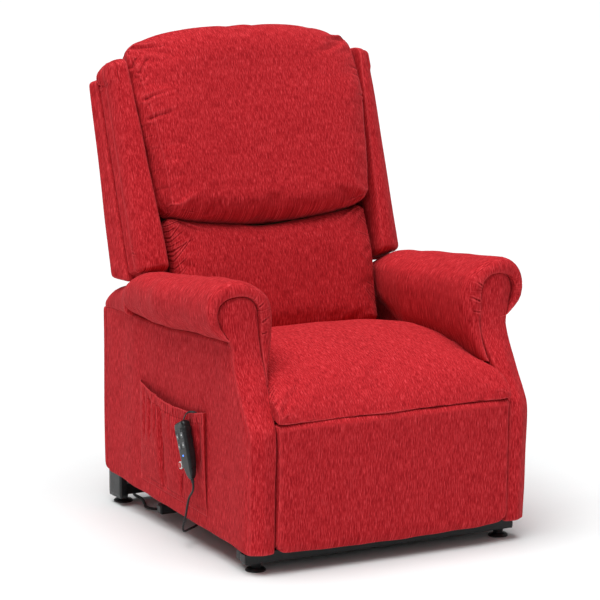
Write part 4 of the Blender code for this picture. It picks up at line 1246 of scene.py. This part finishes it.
def arm_roll(name, side):
    """The roll along the arm's top; its cloth is gathered over the front rim into the scroll's groove."""
    count, rear, front, rim = 112, 0.198, -0.276, 0.028
    outer, inner = smooth_curve(ROLL, count, closed=True), smooth_curve(SCROLL, count, closed=True)
    rows = [(rear + 0.006, -0.06), (rear + 0.004, -0.02)]
    rows += [(y, 0.0) for y in np.linspace(rear, front, 48)]
    rows += [(front - rim * math.sin(t), 0.84 * (1 - math.cos(t))) for t in np.linspace(0.15, math.pi / 2, 8)]
    rows += [(-0.3030, 0.96), (-0.2985, 1.02), (-0.2880, 1.05), (-0.2800, 1.14)]
    sections = []
    for y, share in rows:
        section = outer + (inner - outer) * max(share, 0)
        height = look_up(y, ROLL_HEIGHTS)
        toward_rear = max(0.0, y) / 0.205
        narrow = np.where(section[:, 0] > ROLL_MIDDLE, 0.36, 0.30) * toward_rear
        x = ROLL_MIDDLE + (section[:, 0] - ROLL_MIDDLE) * (1 - narrow) * (1 + min(share, 0))
        z = section[:, 1]
        z = np.where(z > ROLL_FOOT, ROLL_FOOT + (z - ROLL_FOOT) * (height + min(share, 0)),
                     ROLL_FOOT + (z - ROLL_FOOT) * (1 - 0.8 * toward_rear))
        drop = look_up(y, ARM_SEAM) - ROLL_FOOT
        z = z + drop * (1 - smooth_step(z, ROLL_FOOT, ROLL_FOOT + 0.05)) * (x > 0.30)
        lean = (arm_front_at(z) - ROLL_RIM_Y) * (z < ROLL_FOOT) * np.clip((-0.05 - y) / 0.22, 0, 1)
        slant = ROLL_SLANT * max(share, 0) * smooth_step(x, *SLANT_REACH)
        sections.append(np.stack([side * x, y + lean + slant, z], 1))
    end = sections[0]
    sections = [end.mean(0) + (end - end.mean(0)) * share for share in (0.10, 0.45, 0.80)] + sections
    obj = subdivide(loft("arm_roll_" + name, sections))
    points = coordinates(obj)
    angle = np.arctan2(points[:, 2] - ROLL_CENTRE[1], np.abs(points[:, 0]) - ROLL_CENTRE[0])
    angle = np.where(angle < -2.0, angle + 2 * math.pi, angle)
    behind = points[:, 1] - ROLL_RIM_Y - np.minimum(0, arm_front_at(points[:, 2]) - ROLL_RIM_Y)
    marks = crease_marks(70 + side, -0.13, 0.26, 0.0190, 0.10, 0.014, 0.0016, 0.0006)
    gathers = crease_depth(angle * 0.07, behind, marks) * (points[:, 2] > 0.42)
    folds = fold_depth(points * (side, 1, 1), ROLL_FOLDS)
    push(obj, -gathers - folds + lumps(points, 80 + side, 0.14, 0.0014))
    upholster(obj, "chassis", roll_weave, 0.8, "arm_pad_" + name)


# Footrest, covers and pocket

def footrest_pad():
    """A slim pad with rounded lower corners."""
    half, bottom, top, thickness = 0.2876, 0.0475, 0.3284, 0.034
    _, flat, quads = rounded_box((44, 6, 40), (-half, 0, bottom), (half, thickness, top),
                                 (0.007, 0.003, 0.012), 0.5, (0.007, 0.009, 0.006))
    x, t, z = flat.T
    corner = 0.026
    core_x, core_z = half - corner, bottom + corner
    in_corner = (np.abs(x) > core_x) & (z < core_z)
    far = np.hypot(np.abs(x) - core_x, core_z - z)
    reach = np.maximum(np.abs(x) - core_x, core_z - z)
    squeeze = np.where(in_corner, reach / np.maximum(far, 1e-6), 1)
    sag = 0.0035 * (1 - (x / half) ** 2) * (1 - smooth_step(z, bottom, bottom + 0.05))
    x = np.where(in_corner, np.sign(x) * (core_x + (np.abs(x) - core_x) * squeeze), x)
    z = np.where(in_corner, core_z - (core_z - z) * squeeze, z) - sag
    depth = np.interp(z, [0.047, 0.062, 0.190, 0.318, 0.326], [0.024, 0.030, 0.0365, 0.040, 0.036])
    y = -0.3726 - t / thickness * depth
    obj = subdivide(make_piece("footrest_pad_cover", np.stack([x, y, z], 1), quads))
    points = coordinates(obj)
    front = smooth_step(-points[:, 1], 0.385, 0.395)
    crown = 0.004 * np.clip(1 - (points[:, 0] / half) ** 4, 0, 1)
    push(obj, front * (crown + lumps(points * (1, 1, 0.3), 9, 0.10, 0.0012)))
    upholster(obj, "footrest", upright_weave, 0.7, "footrest_pad")


def rear_cover():
    """A cloth-covered board behind the mechanism, with a sewn hem."""
    low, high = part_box("rear_cover")
    _, flat, quads = rounded_box((54, 3, 34), low, high, (0.004, 0.005, 0.004), 0.3)
    obj = subdivide(make_piece("rear_curtain", flat, quads))
    points = coordinates(obj)
    rear = smooth_step(points[:, 1], 0.355, 0.360)
    hem = 0.0018 * ridge(points[:, 2], low.z + 0.024, 0.0025)
    drape = 0.0014 * np.sin(points[:, 0] * 70 + 2 * np.sin(points[:, 0] * 19))
    drape *= smooth_step(high.z - points[:, 2], 0.05, 0.30)
    push(obj, rear * (drape - hem))
    upholster(obj, "chassis", upright_weave, 0.2, "rear_cover")


POCKET_REAR, POCKET_FRONT = 0.160, -0.1775
POCKET_RIM = [(-0.1775, 0.3190), (-0.140, 0.3110), (-0.100, 0.3075), (-0.040, 0.3070), (0.015, 0.3110),
              (0.060, 0.3160), (0.110, 0.3225), (0.160, 0.3290)]
POCKET_BACK_X, POCKET_LEAST = -0.3428, 0.0008
# Each fold's place along the rim, depth, width, lowest and highest share of the height, and lean
POCKET_FOLDS = [(0.375, 0.0175, 0.036, 0.06, 0.88, -0.02), (0.675, 0.0130, 0.022, 0.02, 0.32, 0.05),
                (0.92, 0.0090, 0.036, 0.45, 0.88, 0.0), (0.19, 0.0090, 0.024, 0.50, 0.92, 0.05),
                (0.09, 0.0060, 0.020, 0.45, 0.96, 0.05), (0.29, 0.0045, 0.014, 0.60, 1.05, 0.03),
                (0.55, 0.0030, 0.016, 0.70, 1.05, -0.03), (0.80, 0.0035, 0.020, 0.60, 1.05, -0.03)]


def side_pocket():
    """A patch pocket whose top is drawn in by elastic, with the deep folds that a loaded one has."""
    columns, rows = 150, 72
    v, w = np.meshgrid(np.linspace(0, 1, columns), np.linspace(0, 1, rows), indexing="ij")
    v, w = v.ravel(), w.ravel()
    y = POCKET_REAR + (POCKET_FRONT - POCKET_REAR) * v
    rim = look_up(y, POCKET_RIM)
    foot = 0.087 + 0.013 * (1 - v)
    z = foot + (rim - foot) * w
    upright = np.clip(w * 1.6, 0, 1) ** 0.6
    under_handset = 0.30 * smooth_step(v, 0.52, 0.70) + 0.15 * smooth_step(v, 0.90, 1.0)
    edge = np.where(v < 0.5, np.clip(np.sin(np.pi * v), 0, 1) ** 0.45, 1 - under_handset)
    belly = 0.0180 * edge * upright * (0.80 + 0.20 * w)
    sag = np.zeros(len(v))
    for place, depth, width, start, end, lean in POCKET_FOLDS:
        reach = smooth_step(w, start - 0.06, start + 0.12) * (1 - smooth_step(w, end - 0.10, end + 0.10))
        sag += depth * reach * ridge(v, place + lean * (w - 0.5), width)
    random = np.random.default_rng(91)
    gathers = sum(np.sin(2 * np.pi * (f * v + p + slope * w))
                  for f, p, slope in zip((31, 43, 37), random.uniform(0, 1, 3), (2.0, -1.5, 3.0)))
    gathers = 0.0008 * gathers * smooth_step(w, 0.82, 0.95) * edge
    hem = 0.0010 * ridge(w, 0.90, 0.010) + 0.0012 * ridge(w, 0.055, 0.012)
    out = np.maximum(belly - sag, POCKET_LEAST) + gathers - hem * edge
    grid = np.stack([POCKET_BACK_X - out, y, z], 1).reshape(columns, rows, 3)
    last = grid[-1]
    tucked = []
    for back, share in ((0.0012, 0.80), (0.0040, 0.35), (0.0050, 0.05)):
        under = last + (0, back, 0)
        under[:, 0] = POCKET_BACK_X - np.maximum((POCKET_BACK_X - last[:, 0]) * share, POCKET_LEAST)
        tucked.append(under)
    grid = np.concatenate([grid, tucked])
    ids = np.arange(grid.shape[0] * rows).reshape(grid.shape[0], rows)
    quads = np.stack([ids[:-1, :-1], ids[1:, :-1], ids[1:, 1:], ids[:-1, 1:]], -1).reshape(-1, 4)
    obj = make_mesh("pocket", grid.reshape(-1, 3), quads.tolist())
    thick = obj.modifiers.new("cloth", "SOLIDIFY")
    thick.thickness = 0.0018
    thick.offset = 0
    settle(obj)
    obj.data.shade_smooth()
    clothe(obj, "chassis", upright_weave, "side_pocket")
    binding = pocket_binding(grid[:columns])


def pocket_binding(grid):
    """A narrow turned edge along the pocket's rim."""
    path = grid[:, -1, :]
    ripple = 0.0013 + 0.0002 * np.sin(np.arange(len(path)) * 1.9)
    return clothe(tube("pocket_binding", path, ripple, 10), "chassis", upright_weave)


# Handset

HANDSET_TIP = Vector((-0.3705, -0.160, 0.170))
HANDSET_LEAN = math.radians(24)
HANDSET_SIZE = Vector((0.021, 0.050, 0.130))
HANDSET_PLACE = Matrix.Translation(HANDSET_TIP) @ Matrix.Rotation(-HANDSET_LEAN, 4, "X")
BUTTON_GAP, BUTTON_ROOM = 0.0003, 0.0030
RING_PLACE = (0.0390, 0.0400)
COLLAR_LOW, COLLAR_HIGH = 0.1015, 0.1150
BOOT_TOP, BOOT_END = 0.0140, -0.0085
STRAP_ROUTE = [(-0.3690, -0.1130, 0.2850), (-0.3685, -0.1150, 0.2950), (-0.3672, -0.1215, 0.3060),
               (-0.3650, -0.1290, 0.3125), (-0.3600, -0.1370, 0.3150), (-0.3540, -0.1420, 0.3135),
               (-0.3505, -0.1440, 0.3080), (-0.3490, -0.1450, 0.2980), (-0.3485, -0.1450, 0.2860)]
STRAP_WIDTH, STRAP_THICKNESS = 0.0055, 0.0016
BUTTONS = ("button_back_up", "button_back_down", "button_lift_up", "button_lift_down")


def in_handset(points):
    """From the handset's own axes to the frame."""
    turn = np.array(HANDSET_PLACE.to_3x3())
    return np.asarray(points, float) @ turn.T + np.array(HANDSET_TIP)


def button_box(button):
    """A button's lowest and highest corners in the handset's own axes."""
    inverse = HANDSET_PLACE.inverted()
    local = np.array([tuple(inverse @ v.co) for v in frame["nodes"][button].data.vertices])
    return local.min(0), local.max(0)


def handset():
    """A slim case with a narrow tail, cut away round each button, and its small fittings."""
    half = HANDSET_SIZE / 2
    low, high = (-half.x, -half.y, 0), (half.x, half.y, HANDSET_SIZE.z)
    _, flat, quads = rounded_box((6, 16, 40), low, high, (0.0060, 0.0085, 0.0100), 0.3)
    x, y, z = flat.T
    width = np.interp(z, [0, 0.012, 0.034, 0.060, 0.120, 0.130], [0.26, 0.52, 0.78, 0.92, 1.0, 0.93])
    depth = np.interp(z, [0, 0.020, 0.050, 0.130], [0.52, 0.80, 1.0, 1.0])
    case = subdivide(make_piece("handset_shell", in_handset(np.stack([x * depth, y * width, z], 1)), quads))
    cut_recesses(case)
    dress(case, PLASTIC, "handset", "black_plastic", "handset_case")
    handset_fittings()
    handset_collar()
    handset_boot()
    handset_strap()
    arrows()
    for button in BUTTONS:
        refine(button, KEYCAP, 0.0009)


def cut_recesses(case):
    """Cuts room for each button out of the case, and keeps the new edges sharp."""
    for button in BUTTONS:
        low, high = button_box(button)
        low = low - BUTTON_GAP - (0.01, 0, 0)
        high = high + BUTTON_GAP + (BUTTON_ROOM, 0, 0)
        _, box, faces = rounded_box((1, 1, 1), low, high, (1e-6, 1e-6, 1e-6))
        cutter = make_piece("cutter", in_handset(box), faces)
        cut = case.modifiers.new("recess", "BOOLEAN")
        cut.operation = "DIFFERENCE"
        cut.object = cutter
        settle(case)
        bpy.data.objects.remove(cutter)
    case.data.shade_smooth()
    case.data.set_sharp_from_angle(angle=math.radians(35))


def handset_fittings():
    """The ring on its lug with the dot in it, and the indicator light."""
    front = -HANDSET_SIZE.x / 2
    side, up = RING_PLACE
    for name, centre, radius, height, sides, material, slot in (
            ("handset_ring_lug", (-0.0015, side - 0.0120, up), 0.0085, 0.0040, 24, PLASTIC, "black_plastic"),
            ("handset_ring", (-0.0030, side, up), 0.0086, 0.0030, 32, PALE, "button_plastic"),
            ("handset_ring_dot", (-0.0052, side, up), 0.0062, 0.0016, 28, RED_DOT, "button_plastic"),
            ("handset_light", (front - 0.0003, 0.0010, 0.0540), 0.0019, 0.0010, 16, BLUE_LIGHT,
             "button_plastic")):
        dress(disc(name, centre, radius, height, sides), material, "handset", slot)


def handset_collar():
    """A proud band round the case's shoulder, ribbed for grip."""
    half = HANDSET_SIZE / 2
    steps, count = 9, 96
    angles = 2 * np.pi * np.arange(count) / count
    rows = []
    for i in range(steps):
        share = i / (steps - 1)
        z = COLLAR_LOW + (COLLAR_HIGH - COLLAR_LOW) * share
        proud = 0.0011 - 0.0018 * abs(2 * share - 1) ** 6
        x = np.sign(np.cos(angles)) * np.abs(np.cos(angles)) ** 0.45 * (half.x + proud)
        y = np.sign(np.sin(angles)) * np.abs(np.sin(angles)) ** 0.45 * (half.y * 0.985 + proud)
        ribs = 0.0009 * (np.cos(y * 2 * np.pi / 0.0062) > 0.35) * (np.abs(x) > half.x - 0.002)
        ribs = ribs * (0.12 < share < 0.88)
        rows.append(in_handset(np.stack([x - np.sign(x) * ribs, y, np.full(count, z)], 1)))
    obj = loft("handset_collar", rows)
    obj.data.set_sharp_from_angle(angle=math.radians(40))
    dress(obj, PLASTIC, "handset", "black_plastic")


def handset_boot():
    """A ribbed rubber sleeve where the cord enters the case's tail."""
    count = 46
    share = np.linspace(0, 1, count)
    height = BOOT_TOP + (BOOT_END - BOOT_TOP) * share
    radii = 0.0048 - 0.0014 * share + 0.0003 * np.sin(2 * np.pi * share * 6)
    path = in_handset(np.stack([np.zeros(count), np.zeros(count), height], 1))
    dress(tube("handset_boot", path, radii, 20), RUBBER, "handset", "black_plastic")


def handset_strap():
    """A flat loop of webbing that hangs the handset over the pocket's rim."""
    path = smooth_curve(STRAP_ROUTE, 48)
    along = unit_rows(np.gradient(path, axis=0))
    across = unit_rows(np.cross(along, (-0.75, 0.0, 0.66)))
    thick = np.cross(across, along)
    outline = np.array([(-1, -0.7), (-0.85, -1), (0.85, -1), (1, -0.7), (1, 0.7), (0.85, 1), (-0.85, 1),
                        (-1, 0.7)]) * (STRAP_WIDTH / 2, STRAP_THICKNESS / 2)
    obj = loft("handset_strap", [place + np.outer(outline[:, 0], wide) + np.outer(outline[:, 1], up)
                                 for place, wide, up in zip(path, across, thick)])
    obj.data.set_sharp_from_angle(angle=math.radians(50))
    dress(obj, RUBBER, "handset", "black_plastic", "handset_hook")


def disc(name, centre, radius, height, sides):
    """A domed disc that faces the way the handset's front does, placed in the handset's own axes."""
    rings = [(1.0, 0.4), (1.0, 0.75), (0.93, 0.95), (0.6, 1.0), (0.15, 1.0)]
    turns = 2 * np.pi * np.arange(sides) / sides
    points = []
    for share, lift in [(0.15, -0.6), (1.0, -0.6)] + rings:
        ring = np.stack([np.full(sides, centre[0] - height * (lift - 0.4)),
                         centre[1] + radius * share * np.cos(turns),
                         centre[2] + radius * share * np.sin(turns)], 1)
        points.append(in_handset(ring))
    return loft(name, points)


def arrows():
    """A small raised triangle on each button, pointing up or down."""
    for button in BUTTONS:
        low, high = button_box(button)
        middle, sign = (low + high) / 2, 1 if button.endswith("up") else -1
        outline = [(-0.0026, -0.0018), (0.0026, -0.0018), (0.0, 0.0026)]
        points = [(low[0] + 0.0002 - lift, middle[1] + a * size, middle[2] + sign * b * size)
                  for lift, size in ((0.0, 1.0), (0.0006, 0.86)) for a, b in outline]
        faces = [(0, 1, 2), (3, 5, 4), (0, 3, 4, 1), (1, 4, 5, 2), (2, 5, 3, 0)]
        dress(make_mesh("arrow_" + button, in_handset(points), faces), PALE, button, "button_plastic")


# CAD nodes that stay, with finer edges and finishes

def refine(node, material, width):
    """Rounds a CAD node's edges with modifiers and gives it a material."""
    obj = frame["nodes"][node]
    obj.data.materials.clear()
    obj.data.materials.append(material)
    weld = obj.modifiers.new("weld", "WELD")
    weld.merge_threshold = 0.00002
    bevel = obj.modifiers.new("edges", "BEVEL")
    bevel.width = width
    bevel.segments = 2
    bevel.limit_method = "ANGLE"
    bevel.angle_limit = math.radians(50)
    bevel.harden_normals = False


def hardware():
    """The CAD nodes that stay in sight, each finished by its material slot."""
    finishes = {"frame_paint": (STEEL, 0.0008), "zinc_steel": (ZINC, 0.0006),
                "black_plastic": (PLASTIC, 0.0010), "plywood": (WOOD, 0.0008),
                "cable_rubber": (RUBBER, 0.0004)}
    slots = {part["node"]: part["material_slot"] for part in frame["record"]["subparts"]}
    for node, obj in frame["nodes"].items():
        if not (obj.hide_render or node in BUTTONS):
            refine(node, *finishes[slots[node]])


def tube_caps():
    """Plastic plugs in the open ends of the base's square tubes."""
    depth, proud, gap, wall = 0.014, 0.0022, 0.0006, 0.0026
    for node in ("base_front_tube", "base_front_brace", "base_mid_tube", "base_rear_tube"):
        low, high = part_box(node)
        middle = (low + high) / 2
        for side, x in ((1, high.x), (-1, low.x)):
            inner, outer = x - side * depth, x + side * proud
            box_low = (min(inner, outer), low.y + gap, low.z + gap)
            box_high = (max(inner, outer), high.y - gap, high.z - gap)
            _, flat, quads = rounded_box((4, 6, 6), box_low, box_high, (0.0020, 0.004, 0.004), 0.0)
            buried = np.abs(flat[:, 0] - middle.x) < abs(x - middle.x)
            for axis in (1, 2):
                flat[buried, axis] = np.clip(flat[buried, axis], low[axis] + wall, high[axis] - wall)
            cap = make_piece(f"{node}_cap_{'left' if side > 0 else 'right'}", flat, quads)
            dress(cap, PLASTIC, "base", "black_plastic")


def make_everything():
    """Builds every piece but the cords, which come first."""
    seat, head, lumbar = seat_cushion(), head_cushion(), lumbar_cushion()
    puff_all()
    finish_seat(seat)
    finish_head(head)
    finish_lumbar(lumbar)
    for name, side in (("left", 1), ("right", -1)):
        wing(name, side)
        arm_side(name, side)
        arm_shoulder(name, side)
        arm_front(name, side)
        arm_roll(name, side)
    back_panel()
    back_covers()
    footrest_pad()
    rear_cover()
    side_pocket()
    handset()
    tube_caps()
    hardware()


make_everything()
